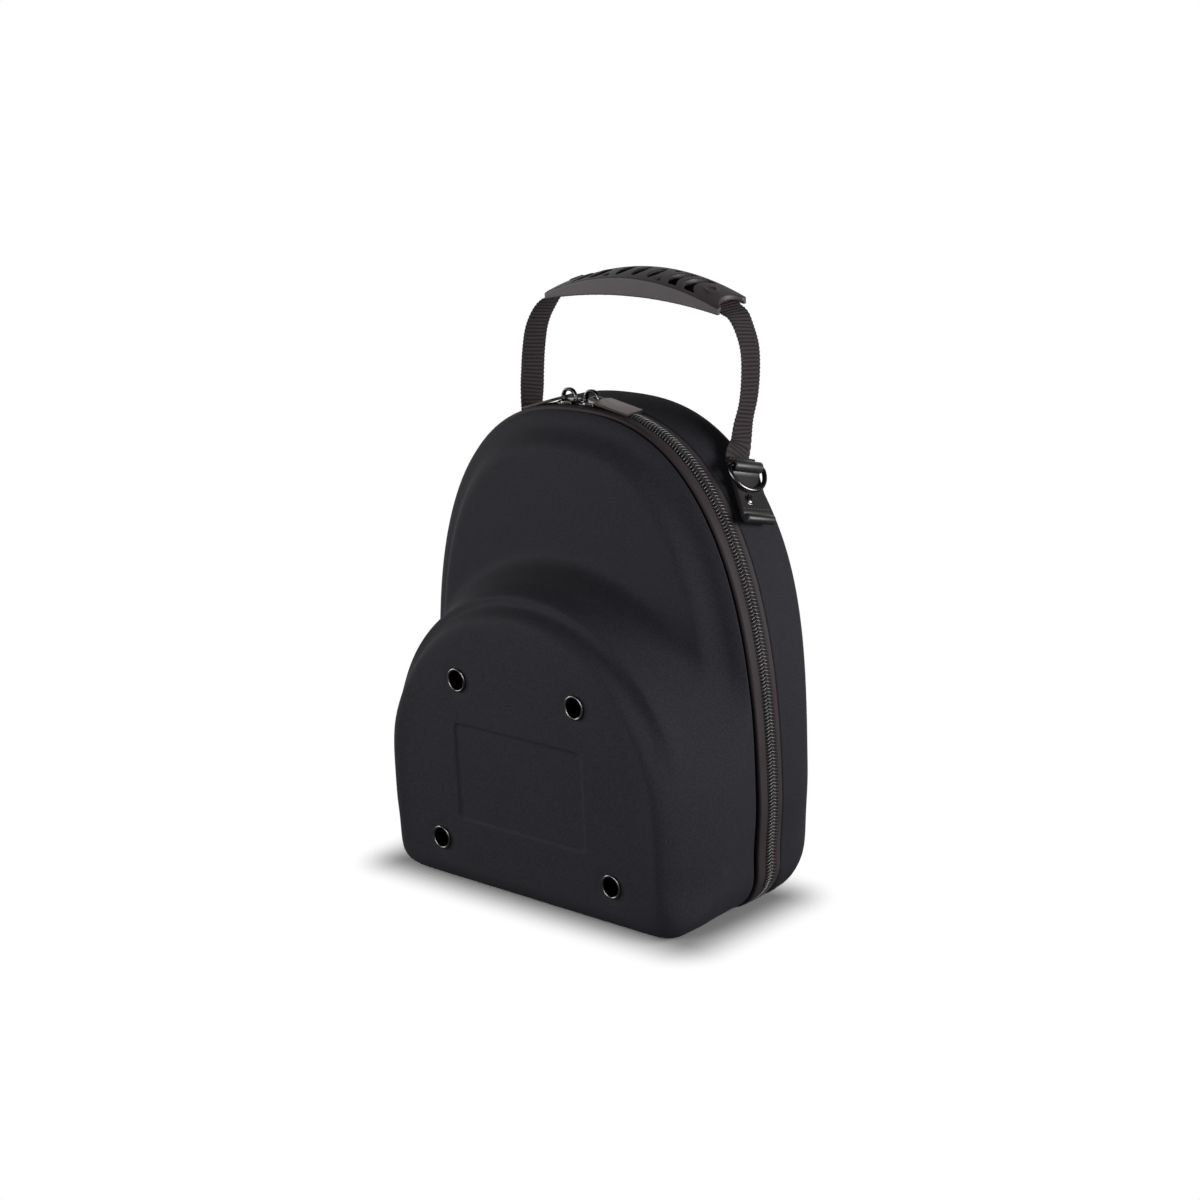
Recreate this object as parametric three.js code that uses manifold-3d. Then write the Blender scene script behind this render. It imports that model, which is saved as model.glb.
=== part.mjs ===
// A moulded cap carrier: two hard foam shells joined by a zip, with a webbing handle on top.
// Millimetres, +Z up, the front faces -Y, and the case is the same on both sides of x = 0.
import * as THREE from "three";
import { mergeVertices } from "three/addons/utils/BufferGeometryUtils.js";
import Module from "manifold-3d";

const wasm = await Module();
wasm.setup();

// Clearance between neighbouring pieces
const fit = 0.3;

// Outline of the zip, seen from the front: flat base, round corners, nearly straight sides, arched top
const floorGap = 1.6;
const rim = {
  height: 305,
  halfWidth: 135,
  baseHalf: 131.5,
  widestAt: 78,
  roundness: 2.51,
  corner: 29.5,
  floor: floorGap,
};
const hingeHalf = 90;
const stationCount = { corner: 5, arch: 16 };

// Shells' edges on both sides of the zip's middle plane, y = 0
const frontEdgeY = -15;
const backEdgeY = 9.7;
const wall = 4;

// Front shell: a shallow plateau above, and the crown that holds the caps standing out below it
const plateau = { depth: 17, reach: 36 };
const crown = { depth: 67, baseRound: 14, centreZ: 75, flatTo: 108, foot: 152, fillet: 9 };

// Back shell: one plain cup that swells a little beyond the zip, rounder at the sides than on top
const cup = { depth: 40, swell: 2, sideRound: 27, topRound: 14, baseRound: 32, corner: 30 };
const cupFaceZ = 130;
const cupTopFrom = 200;

// The base: how fast it runs out into the corners, and the share of each shell's wall it settles in
const baseFade = 1.5;
const settleShare = { front: 0.25, back: 0.17 };

// Bands between the shells. Each row is one corner: sunk below the zip's outline, place along y
const binding = [
  { sunk: 3.6, y: -14.7 },
  { sunk: 0.2, y: -14.7 },
  { sunk: -0.9, y: -13.2 },
  { sunk: -1.2, y: -10.3 },
  { sunk: -0.9, y: -7.5 },
  { sunk: 0.2, y: -6 },
  { sunk: 3.6, y: -6 },
];
const tape = { sunk: 1.9, thick: 1.2, front: -5.7, middle: 0.15, back: 9.4 };
const chain = { half: 4.3, crest: 2.4, sunk: 1.6, shoulder: 0.4, proud: 0.6 };
const hingeStripSunk = 0.6;

// Eyelets in the crown's face: two rows, each place mirrored
const eyelets = [
  { row: "upper", x: 50, z: 140 },
  { row: "lower", x: 73, z: 30 },
];
const eyelet = { bore: 6.1, barrel: 6.9, flange: 8.3, rimTop: 0.7, innerTop: 0.6, proud: 1.1, sides: 16 };

// Zip sliders stand side by side left of the top's middle, each with a flat pull
const sliders = [
  { side: "left", x: -17, turn: -1, dip: 12.9 },
  { side: "right", x: 1.6, turn: 1, dip: 10.5 },
];
const slider = { length: 12.5, half: 5.7, plate: 2, flange: 1, drop: 1.8, bevel: 1.5, edge: 1.2 };
const bridge = { width: 2.2, half: 5.6, rise: 6.6, bar: 1.85, root: 0.5, shoulder: 0.35 };
const pull = { pivotX: 1.4, pivotZ: 2.2, bar: 1, eye: 2.3, eyeEnd: 5.4, arm: 4, shoulder: 2 };
const pullPlate = { length: 34, half: 8, thick: 1.7 };

// Handle: webbing with a pierced rubber grip, whose ends lie under riveted tabs on the back shell
const webbing = { width: 19.6, thick: 1.6, lift: 0.6, toeIn: 5, steps: 64 };
const toeInFrom = { z: 285, fadeZ: 20, fadeX: 12 };
const grip = { y: 53.5, half: 72, width: 28, side: 2.4, plate: 3.6, crest: 381.8, foot: 368.6 };
const gripBend = { topRadius: 181, footRadius: 379, tilt: 0.12, crownDrop: 1.6 };
const slot = { leafPitch: 12.8, leafHalf: 9.4, leafWide: 3.1, half: 10.6 };
const sliver = { x: 21.5, halfWide: 2.4, tip: 6.2 };
const notch = { out: 6, radius: 12 };

// Crescent slots: arcs nearer the grip's middle and nearer its end, as centres and radii
const crescents = [
  { middle: { x: 39.5, radius: 14 }, end: { x: 46.5, radius: 14 } },
  { middle: { x: 51, radius: 13 }, end: { x: 56, radius: 11 } },
];
const tab = { z: 256.8, y: 25.3, lean: 17.8, width: 22, low: 2.65, thick: 2.4, lip: 3 };
const tabEnds = { top: -20, bar: -12.8, bottom: 22.6 };
const lipShape = { bulge: 0.4, backRise: 1.8, backReach: 1.6 };
const loopPlay = 0.4;
const loopWall = 1.8;
const loopEnd = 0.5;
const ring = { wire: 1.5, half: 14, corner: 2.5, drop: 16, above: 6.9, shift: -0.7, sides: 8 };

// Free stretch of the right half of the webbing, from the grip down to the tab
const freeWebbing = [
  { x: 71.5, y: 52.8, z: 362.2 },
  { x: 77.5, y: 52, z: 358.8 },
  { x: 84.5, y: 50, z: 350 },
  { x: 88.8, y: 48.4, z: 340 },
  { x: 90.6, y: 46.2, z: 325 },
  { x: 90.4, y: 43.7, z: 310 },
  { x: 88.6, y: 40, z: 295 },
  { x: 88, y: 37.6, z: 283 },
];

// The group is moved so that the origin lies under the middle of the whole object's box
const frontmostY = frontEdgeY - crown.depth - eyelet.proud;
const rearmostY = grip.y + grip.width / 2;
const middleY = -(frontmostY + rearmostY) / 2;

const cloth = { color: 0x1b1c20, roughness: 0.92, metalness: 0 };
const trim = { color: 0x241f1f, roughness: 0.7, metalness: 0 };
const coil = { color: 0x2a2626, roughness: 0.45, metalness: 0 };
const darkMetal = { color: 0x4a4646, roughness: 0.35, metalness: 0.9 };
const rubber = { color: 0x3a3536, roughness: 0.65, metalness: 0 };
const leather = { color: 0x1d1a1a, roughness: 0.4, metalness: 0 };

function lerp(a, b, t) {
  return a + (b - a) * t;
}

function smooth(t) {
  const c = Math.min(1, Math.max(0, t));
  return c * c * (3 - 2 * c);
}

// Half of an outline as three fine polylines: base, corner, and the side with the arched top
function halfOutline({ height, halfWidth, baseHalf, widestAt, roundness, corner, floor }) {
  const steps = 240;
  const flat = baseHalf - corner;
  const base = [{ x: 0, z: floor }, { x: flat, z: floor }];
  const bend = [];
  const arch = [];
  for (let i = 0; i <= steps; i += 1) {
    const a = (Math.PI / 2) * (i / steps - 1);
    bend.push({ x: flat + corner * Math.cos(a), z: floor + corner + corner * Math.sin(a) });
  }
  for (let i = 0; i < steps; i += 1) {
    const t = i / steps;
    arch.push({ x: lerp(baseHalf, halfWidth, smooth(t)), z: lerp(floor + corner, widestAt, t) });
  }
  for (let i = 0; i <= steps; i += 1) {
    const a = (Math.PI / 2) * (1 - i / steps);
    const x = halfWidth * Math.sin(a) ** (2 / roundness);
    arch.push({ x, z: widestAt + (height - widestAt) * Math.cos(a) ** (2 / roundness) });
  }
  return { base, bend, arch };
}

// The point at a share of a polyline's length, with the normal to the left of its direction
function pointAlong(line, share) {
  const along = [0];
  for (let i = 1; i < line.length; i += 1) {
    along.push(along[i - 1] + Math.hypot(line[i].x - line[i - 1].x, line[i].z - line[i - 1].z));
  }
  const stop = share * along[along.length - 1];
  const i = Math.max(1, along.findIndex((a) => a >= stop - 1e-6));
  const ahead = line[i];
  const behind = line[i - 1];
  const length = along[i] - along[i - 1];
  const t = (stop - along[i - 1]) / length;
  return {
    x: lerp(behind.x, ahead.x, t),
    z: lerp(behind.z, ahead.z, t),
    nx: -(ahead.z - behind.z) / length,
    nz: (ahead.x - behind.x) / length,
  };
}

// Stations round a whole outline, each with its inward normal. Station 0 is the middle of the base.
function outlineStations(sizes) {
  const { base, bend, arch } = halfOutline(sizes);
  const hingeShare = hingeHalf / (rim.baseHalf - rim.corner);
  const half = [0, hingeShare / 2, hingeShare].map((share) => pointAlong(base, share));
  for (let i = 0; i <= stationCount.corner; i += 1) {
    half.push(pointAlong(bend, i / stationCount.corner));
  }
  for (let i = 1; i <= stationCount.arch; i += 1) {
    half.push(pointAlong(arch, i / stationCount.arch));
  }
  half[half.length - 1] = { x: 0, z: sizes.height, nx: 0, nz: -1 };
  const left = half.slice(1, -1).reverse();
  return half.concat(left.map((p) => ({ x: -p.x, z: p.z, nx: -p.nx, nz: p.nz })));
}

const stations = outlineStations(rim);
const hingeStation = 2;

// Outline where the back shell's rounded wall runs into its flat face
const backBrink = outlineStations({
  ...rim,
  height: rim.height + cup.swell - cup.topRound,
  halfWidth: rim.halfWidth + cup.swell - cup.sideRound,
  baseHalf: rim.baseHalf + cup.swell - cup.sideRound,
  corner: cup.corner,
  floor: floorGap + cup.baseRound,
});

// Height of the zip's outline over x, with its slope, for the arched top
function archOver(x) {
  const share = 1 - (Math.abs(x) / rim.halfWidth) ** rim.roundness;
  const rise = rim.height - rim.widestAt;
  const z = rim.widestAt + rise * share ** (1 / rim.roundness);
  const pace = (Math.abs(x) / rim.halfWidth) ** (rim.roundness - 1) * share ** (1 / rim.roundness - 1);
  return { z, slope: (-Math.sign(x) * pace * rise) / rim.halfWidth };
}

// Half width of the zip's outline at a height on the arched top
function archHalfWidth(z) {
  const share = (z - rim.widestAt) / (rim.height - rim.widestAt);
  return rim.halfWidth * (1 - share ** rim.roundness) ** (1 / rim.roundness);
}

// Turns the faces of a closed mesh outwards
function facingOut(positions, index) {
  let volume = 0;
  const at = (i) => new THREE.Vector3().fromArray(positions, 3 * i);
  for (let i = 0; i < index.length; i += 3) {
    volume += at(index[i]).dot(at(index[i + 1]).cross(at(index[i + 2])));
  }
  if (volume < 0) {
    index.reverse();
  }
  const geometry = new THREE.BufferGeometry();
  geometry.setAttribute("position", new THREE.Float32BufferAttribute(positions, 3));
  geometry.setIndex(index);
  return geometry;
}

// Two triangles over four corners, split along the shorter diagonal
function quad(positions, a, b, c, d) {
  const at = (i) => new THREE.Vector3().fromArray(positions, 3 * i);
  const split = at(a).distanceTo(at(c)) <= at(b).distanceTo(at(d));
  return split ? [a, b, c, a, c, d] : [a, b, d, b, c, d];
}

// A closed mesh through rings of points. A ring of one point is a pole. An open loft's ends are
// closed by the flat outline they had before they were placed.
function loft(rings, { closed = false, endOutline = null } = {}) {
  const positions = [];
  const index = [];
  const starts = [];
  for (const points of rings) {
    starts.push(positions.length / 3);
    for (const p of points) {
      positions.push(p.x, p.y, p.z);
    }
  }
  const links = closed ? rings.length : rings.length - 1;
  for (let k = 0; k < links; k += 1) {
    const next = (k + 1) % rings.length;
    const a = starts[k];
    const b = starts[next];
    const count = Math.max(rings[k].length, rings[next].length);
    for (let i = 0; i < count; i += 1) {
      const j = (i + 1) % count;
      if (rings[next].length === 1) {
        index.push(a + i, a + j, b);
      } else if (rings[k].length === 1) {
        index.push(a, b + j, b + i);
      } else {
        index.push(...quad(positions, a + i, a + j, b + j, b + i));
      }
    }
  }
  if (endOutline) {
    const last = starts[starts.length - 1];
    for (const [a, b, c] of THREE.ShapeUtils.triangulateShape(endOutline, [])) {
      const near = THREE.ShapeUtils.isClockWise([a, b, c].map((i) => endOutline[i]));
      const ordered = near === THREE.ShapeUtils.isClockWise(endOutline) ? [a, b, c] : [a, c, b];
      const [i, j, k] = ordered;
      index.push(i, k, j, last + i, last + j, last + k);
    }
  }
  return facingOut(positions, index);
}

function toSolid(geometry) {
  const bare = geometry.clone();
  bare.deleteAttribute("normal");
  bare.deleteAttribute("uv");
  const merged = mergeVertices(bare, 1e-4);
  const vertProperties = new Float32Array(merged.attributes.position.array);
  const triVerts = new Uint32Array(merged.index.array);
  return new wasm.Manifold(new wasm.Mesh({ numProp: 3, vertProperties, triVerts }));
}

function toGeometry(solid) {
  const mesh = solid.getMesh();
  const geometry = new THREE.BufferGeometry();
  geometry.setAttribute("position", new THREE.BufferAttribute(new Float32Array(mesh.vertProperties), 3));
  geometry.setIndex(Array.from(mesh.triVerts));
  return geometry;
}

function cut(geometry, tools) {
  return toGeometry(tools.reduce((solid, tool) => solid.subtract(toSolid(tool)), toSolid(geometry)));
}

function join(geometries) {
  return toGeometry(geometries.map(toSolid).reduce((a, b) => a.add(b)));
}

// The same shape on the other side of x = 0
function mirrored(geometry) {
  const copy = mergeVertices(geometry.clone());
  const positions = Array.from(copy.attributes.position.array, (v, i) => (i % 3 === 0 ? -v : v));
  return facingOut(positions, Array.from(copy.index.array));
}

function piece(name, geometry, finish) {
  const mesh = new THREE.Mesh(geometry, new THREE.MeshStandardMaterial(finish));
  mesh.name = name;
  return mesh;
}

// Share of a side wall at a station: 0 on the flat base, 1 on the sides and the top
function sideShare(s) {
  return 1 - Math.max(0, s.nz) ** baseFade;
}

// How far a station is lowered so that the shells, not the zip, stand on the floor
function settle(s) {
  return floorGap * (1 - sideShare(s));
}

// The larger of two heights, with a hollow fillet where they meet
function filletMax(a, b, fillet) {
  const h = Math.max(0, fillet - Math.abs(a - b)) / fillet;
  return Math.max(a, b) + (h * h * fillet) / 4;
}

// Depth of the front shell at a point sunk a given distance inside the rim: a plateau that swells up
// from the rim, and the crown, round above its centre and straight below it
function frontDepth(x, z, sunk) {
  const rise = Math.min(1, Math.max(0, sunk / plateau.reach));
  const low = plateau.depth * (1 - (1 - rise) ** 2);
  const r = Math.hypot(x, Math.max(0, z - crown.centreZ));
  const high = crown.depth * smooth((crown.foot - r) / (crown.foot - crown.flatTo));
  return sunk > 0 ? Math.min(crown.depth, filletMax(low, high, crown.fillet * rise)) : high;
}

// Rings of one skin of the front shell, on rays from the rim to the crown's centre
function frontSkin(inset, counts) {
  const rays = stations.map((s) => {
    const reach = Math.hypot(s.x, Math.max(0, s.z - crown.centreZ));
    const share = sideShare(s);
    const baseEnd = 1 - crown.baseRound / (crown.centreZ - floorGap);
    const flatEnd = crown.flatTo / Math.max(reach, crown.flatTo);
    return { s, share, end: lerp(baseEnd, Math.min(flatEnd, baseEnd), share) };
  });
  const at = ({ s, share, end }, u) => {
    const k = Math.min(1, (1 - u) / (1 - end));
    const x = s.x * u;
    const z = lerp(crown.centreZ, s.z, u);
    const sunk = (x - s.x) * s.nx + (z - s.z) * s.nz;
    const round = crown.baseRound * (1 - Math.sqrt(1 - (1 - k) ** 2));
    const deep = lerp(crown.depth - round, frontDepth(x, z, sunk), share);
    const push = inset * (1 - k) - settle(s) * u;
    return { x: x + s.nx * push, y: frontEdgeY - Math.max(0, deep - inset), z: z + s.nz * push };
  };
  const rings = [];
  rings.push(stations.map((s) => ({ x: s.x + s.nx * inset, y: frontEdgeY, z: s.z + s.nz * inset })));
  rings.push(rays.map((ray) => {
    const top = at(ray, 1);
    return { ...top, y: lerp(frontEdgeY, top.y, settleShare.front) };
  }));
  for (let i = 0; i <= counts.slope; i += 1) {
    rings.push(rays.map((ray) => at(ray, lerp(1, ray.end, i / counts.slope))));
  }
  for (let i = 1; i < counts.face; i += 1) {
    rings.push(rays.map((ray) => at(ray, lerp(ray.end, 0, i / counts.face))));
  }
  rings.push([{ x: 0, y: frontEdgeY - crown.depth + inset, z: crown.centreZ }]);
  return rings;
}

// Wall of the back shell: straight, then a quarter of an ellipse into the face. t runs from 0 to 1.
// across is the share of the way to the face's outline, deep the depth from the edge.
const straightShare = 0.34;
function roundedWall(t, swell, round) {
  const swellShare = -swell / (round - swell);
  if (t <= straightShare) {
    const k = t / straightShare;
    return { across: swellShare * smooth(k), deep: (cup.depth - round) * k };
  }
  const a = ((t - straightShare) / (1 - straightShare)) * (Math.PI / 2);
  return { across: lerp(swellShare, 1, 1 - Math.cos(a)), deep: cup.depth - round * (1 - Math.sin(a)) };
}

function backProfile(s, t) {
  const topShare = smooth((s.z - cupTopFrom) / (rim.height - cupTopFrom));
  const side = roundedWall(t, cup.swell, lerp(cup.sideRound, cup.topRound, topShare));
  const base = roundedWall(t, 0, cup.baseRound);
  const share = sideShare(s);
  return { across: lerp(base.across, side.across, share), deep: lerp(base.deep, side.deep, share) };
}

// Rings of one skin of the back shell, from its edge to the middle of its face
function backSkin(inset, counts) {
  const place = (s, i, t) => {
    const { across, deep } = backProfile(s, t);
    const push = inset * (1 - Math.max(0, across)) - settle(s) * Math.min(1, t / settleShare.back);
    return {
      x: lerp(s.x, backBrink[i].x, across) + s.nx * push,
      y: backEdgeY + deep * (1 - inset / cup.depth),
      z: lerp(s.z, backBrink[i].z, across) + s.nz * push,
    };
  };
  const rings = [];
  for (let k = 0; k <= counts.wall; k += 1) {
    rings.push(stations.map((s, i) => place(s, i, (straightShare * k) / counts.wall)));
  }
  for (let k = 1; k <= counts.round; k += 1) {
    rings.push(stations.map((s, i) => place(s, i, lerp(straightShare, 1, k / counts.round))));
  }
  rings.push([{ x: 0, y: backEdgeY + cup.depth - inset, z: cupFaceZ }]);
  return rings;
}

function shellGeometry(skin, outerCounts, innerCounts) {
  const outer = skin(0, outerCounts);
  const inner = skin(wall, innerCounts);
  return loft(outer.reverse().concat(inner));
}

// A band that follows the zip's outline, from corners given as depth below it and place along y
function bandGeometry(corners, from, to) {
  const closed = from === 0 && to === stations.length;
  const rings = stations.slice(from, to).map((s) => corners.map((c) => (
    { x: s.x + s.nx * c.sunk, y: c.y, z: s.z + s.nz * c.sunk }
  )));
  const endOutline = closed ? null : corners.map((c) => new THREE.Vector2(c.sunk, c.y));
  return loft(rings, { closed, endOutline });
}

function tapeCorners(yFrom, yTo) {
  const low = tape.sunk + tape.thick;
  return [
    { sunk: low, y: yFrom },
    { sunk: tape.sunk, y: yFrom },
    { sunk: tape.sunk, y: yTo },
    { sunk: low, y: yTo },
  ];
}

function chainCorners() {
  const { half, crest, sunk, shoulder, proud } = chain;
  return [
    { sunk, y: -half },
    { sunk: shoulder, y: -half },
    { sunk: -proud, y: -crest },
    { sunk: -proud, y: crest },
    { sunk: shoulder, y: half },
    { sunk, y: half },
  ];
}

function extrude(points, depth, holes = []) {
  const shape = new THREE.Shape(points.map(([x, y]) => new THREE.Vector2(x, y)));
  shape.holes = holes.map((hole) => new THREE.Path(hole.map(([x, y]) => new THREE.Vector2(x, y))));
  return new THREE.ExtrudeGeometry(shape, { depth, bevelEnabled: false });
}

function disc(x, y, radius, sides) {
  return Array.from({ length: sides }, (_, i) => {
    const a = (2 * Math.PI * i) / sides;
    return [x + radius * Math.cos(a), y + radius * Math.sin(a)];
  });
}

// Strip of fabric that closes the base between the ends of the zip
function hingeStripGeometry() {
  const length = 2 * (hingeHalf - fit);
  const top = tape.sunk + tape.thick;
  const strip = new THREE.BoxGeometry(length, tape.back - tape.front, top - hingeStripSunk);
  return strip.translate(0, (tape.back + tape.front) / 2, floorGap + (top + hingeStripSunk) / 2);
}

function eyeletGeometry() {
  const { bore, barrel, flange, rimTop, innerTop, proud, sides } = eyelet;
  const profile = [
    [bore, -fit - wall],
    [barrel, -fit - wall],
    [barrel, fit],
    [flange, fit],
    [flange, rimTop],
    [(flange + bore) / 2, proud],
    [bore, innerTop],
    [bore, -fit - wall],
  ];
  return new THREE.LatheGeometry(profile.map(([r, h]) => new THREE.Vector2(r, h)), sides);
}

function eyeletHole(x, z) {
  const depth = 3 * wall;
  const drill = new THREE.CylinderGeometry(eyelet.barrel + fit, eyelet.barrel + fit, depth, eyelet.sides);
  return drill.translate(x, frontEdgeY - crown.depth + wall / 2, z);
}

// Slider: a channel over the chain, with a bridge on top that the pull hangs on
function sliderGeometry() {
  const { length, half, plate, flange, drop, bevel, edge } = slider;
  const channel = extrude([
    [-half, -drop], [-half + flange, -drop], [-half + flange, 0], [half - flange, 0],
    [half - flange, -drop], [half, -drop], [half, edge], [half - bevel, plate],
    [-half + bevel, plate], [-half, edge],
  ], length);
  channel.rotateX(Math.PI / 2).rotateZ(Math.PI / 2).translate(-length / 2, 0, 0);
  const arch = (reach, top, foot) => {
    const steps = 8;
    const points = [[reach, foot]];
    for (let i = 0; i <= steps; i += 1) {
      const a = Math.PI * (i / steps);
      points.push([reach * Math.cos(a), lerp(foot, top, lerp(bridge.shoulder, 1, Math.sin(a)))]);
    }
    points.push([-reach, foot]);
    return points;
  };
  const { width, bar, root } = bridge;
  const top = plate + bridge.rise;
  const hole = arch(bridge.half - bar, top - bar, plate + fit);
  const loop = extrude(arch(bridge.half, top, plate - root), width, [hole]);
  loop.rotateX(Math.PI / 2).translate(0, width / 2, 0);
  return join([channel, loop]);
}

// Pull: a flat plate with an eye. Its end bar lies under the bridge and is the axis it turns on.
function pullGeometry() {
  const { bar, eye, eyeEnd, arm, shoulder } = pull;
  const { length, half, thick } = pullPlate;
  const plate = extrude([
    [-bar, -arm], [eyeEnd, -arm], [eyeEnd + shoulder, -half], [length, -half],
    [length, half], [eyeEnd + shoulder, half], [eyeEnd, arm], [-bar, arm],
  ], thick, [[[bar, -eye], [eyeEnd, -eye], [eyeEnd, eye], [bar, eye]]]);
  return plate.translate(0, 0, -thick / 2);
}

// Axes of the right tab: down along it, across it, and out from the shell
function tabFrame() {
  const x = archHalfWidth(tab.z);
  const { slope } = archOver(x);
  const down = new THREE.Vector3(1, 0, slope).normalize();
  const out = new THREE.Vector3(-slope, 0, 1).normalize();
  const lean = THREE.MathUtils.degToRad(tab.lean);
  const along = down.clone().multiplyScalar(Math.cos(lean)).add(new THREE.Vector3(0, -Math.sin(lean), 0));
  const across = new THREE.Vector3().crossVectors(out, along);
  const origin = new THREE.Vector3(x, tab.y, tab.z).addScaledVector(out, cup.swell);
  return new THREE.Matrix4().makeBasis(along, across, out).setPosition(origin);
}

// Side view of the tab: a loop round the ring's bar, a flat stretch and a rolled end
function tabGeometry() {
  const { width, low, thick, lip } = tab;
  const { top, bar, bottom } = tabEnds;
  const { bulge, backRise, backReach } = lipShape;
  const hole = ring.wire + loopPlay;
  const outer = hole + loopWall;
  const centre = ring.above;
  const steps = 9;
  const points = [[bottom, low], [bottom + lip * bulge, low + lip], [bottom, low + 2 * lip]];
  points.push([bottom - lip, low + backRise * lip], [bottom - backReach * lip, low + thick]);
  points.push([bar + outer + 1, low + thick]);
  for (let i = 1; i <= steps; i += 1) {
    const a = lerp(-loopEnd, Math.PI + loopEnd, i / steps);
    points.push([bar + outer * Math.cos(a), centre + outer * Math.sin(a)]);
  }
  points.push([top, low + thick], [top, low]);
  const body = extrude(points, width, [disc(bar, centre, hole, 10)]);
  body.rotateX(Math.PI / 2).translate(0, width / 2, 0);
  return body.applyMatrix4(tabFrame());
}

// D-shaped ring in the tab's axes: the straight bar runs across, the bow hangs along the tab
function ringPath() {
  const { half, corner, drop } = ring;
  const quarter = [];
  for (let i = 0; i <= 3; i += 1) {
    const a = (Math.PI / 2) * (i / 3);
    quarter.push([corner * (1 - Math.cos(a)), half - corner + corner * Math.sin(a)]);
  }
  for (let i = 1; i <= 7; i += 1) {
    const a = (Math.PI / 2) * (i / 7);
    quarter.push([corner + (drop - corner) * Math.sin(a), half * Math.cos(a)]);
  }
  const other = quarter.slice(0, -1).reverse().map(([s, w]) => [s, -w]);
  return quarter.concat(other);
}

function ringGeometry() {
  const path = ringPath();
  const rings = path.map(([s, w], i) => {
    const [s0, w0] = path[(i + path.length - 1) % path.length];
    const [s1, w1] = path[(i + 1) % path.length];
    const length = Math.hypot(s1 - s0, w1 - w0);
    const side = [-(w1 - w0) / length, (s1 - s0) / length];
    return disc(0, 0, ring.wire, ring.sides).map(([u, v]) => (
      new THREE.Vector3(tabEnds.bar + s + side[0] * u, ring.shift + w + side[1] * u, ring.above + v)
    ));
  });
  return loft(rings, { closed: true }).applyMatrix4(tabFrame());
}

// Heights of the grip over x: its crest, the flat ceiling inside it, and its lower edge
function gripCrest(x) {
  return grip.crest - x ** 2 / (2 * gripBend.topRadius);
}

function gripCeiling(x) {
  return gripCrest(x) - grip.plate;
}

function gripFoot(x) {
  return grip.foot - x ** 2 / (2 * gripBend.footRadius);
}

// Middle line of the webbing from the left tab, through the grip, to the right tab
function webbingLine() {
  const inGrip = [0, 18, 36, 54, 66].map((x) => (
    { x, y: grip.y, z: gripCeiling(x) - webbing.lift - webbing.thick / 2 }
  ));
  const frame = tabFrame();
  const level = webbing.lift + webbing.thick / 2;
  const underTab = [-21, -15, -4, 6, 14, 20].map((s) => (
    new THREE.Vector3(s, 0, level).applyMatrix4(frame)
  ));
  const right = inGrip.concat(freeWebbing, underTab).map((p) => new THREE.Vector3(p.x, p.y, p.z));
  const left = right.slice(1).reverse().map((p) => new THREE.Vector3(-p.x, p.y, p.z));
  return new THREE.CatmullRomCurve3(left.concat(right), false, "centripetal");
}

function webbingGeometry() {
  const line = webbingLine();
  const { width, thick, steps } = webbing;
  const toeIn = THREE.MathUtils.degToRad(webbing.toeIn);
  const rings = [];
  for (let i = 0; i <= steps; i += 1) {
    const at = line.getPointAt(i / steps);
    const along = line.getTangentAt(i / steps);
    const outside = smooth((Math.abs(at.x) - grip.half) / toeInFrom.fadeX);
    const hanging = outside * smooth((at.z - toeInFrom.z) / toeInFrom.fadeZ);
    const turn = -Math.sign(at.x) * hanging * Math.tan(toeIn);
    const across = new THREE.Vector3(turn, 1, gripBend.tilt * (1 - outside));
    across.addScaledVector(along, -across.dot(along)).normalize();
    const out = new THREE.Vector3().crossVectors(along, across);
    rings.push([[-1, -1], [1, -1], [1, 1], [-1, 1]].map(([u, v]) => (
      at.clone().addScaledVector(across, (u * width) / 2).addScaledVector(out, (v * thick) / 2)
    )));
  }
  const endOutline = [[-1, -1], [1, -1], [1, 1], [-1, 1]].map(([u, v]) => new THREE.Vector2(u, v));
  return loft(rings, { endOutline });
}

// Leaf-shaped slot across the grip, as an outline over its top
function leaf(x) {
  return disc(0, 0, 1, 12).map(([u, v]) => [x + slot.leafWide * u, slot.leafHalf * v]);
}

// Crescent-shaped slot between two arcs that bow to the grip's middle; sign tells which end
function crescent({ middle, end }, sign) {
  const steps = 8;
  const arc = ({ x, radius }, y) => [sign * (x - Math.sqrt(radius ** 2 - y ** 2)), y];
  const points = [];
  for (let i = 0; i <= steps; i += 1) {
    points.push(arc(middle, lerp(-slot.half, slot.half, i / steps)));
  }
  for (let i = steps; i >= 0; i -= 1) {
    points.push(arc(end, lerp(-slot.half, slot.half, i / steps)));
  }
  return points;
}

// Slots through the grip's top: leaves, crescents and small slivers, and a notch at each end
function gripSlots() {
  const outlines = [-1, 0, 1].map((k) => leaf(k * slot.leafPitch));
  for (const sign of [-1, 1]) {
    for (const shape of crescents) {
      outlines.push(crescent(shape, sign));
    }
    for (const edge of [-slot.half, slot.half]) {
      const x = sign * sliver.x;
      const tip = Math.sign(edge) * sliver.tip;
      outlines.push([[x - sliver.halfWide, edge], [x + sliver.halfWide, edge], [x, tip]]);
    }
    outlines.push(disc(sign * (grip.half + notch.out), 0, notch.radius, 16));
  }
  const tall = 2 * (grip.crest - grip.foot);
  return outlines.map((outline) => extrude(outline, tall).translate(0, grip.y, grip.crest - 0.8 * tall));
}

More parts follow.
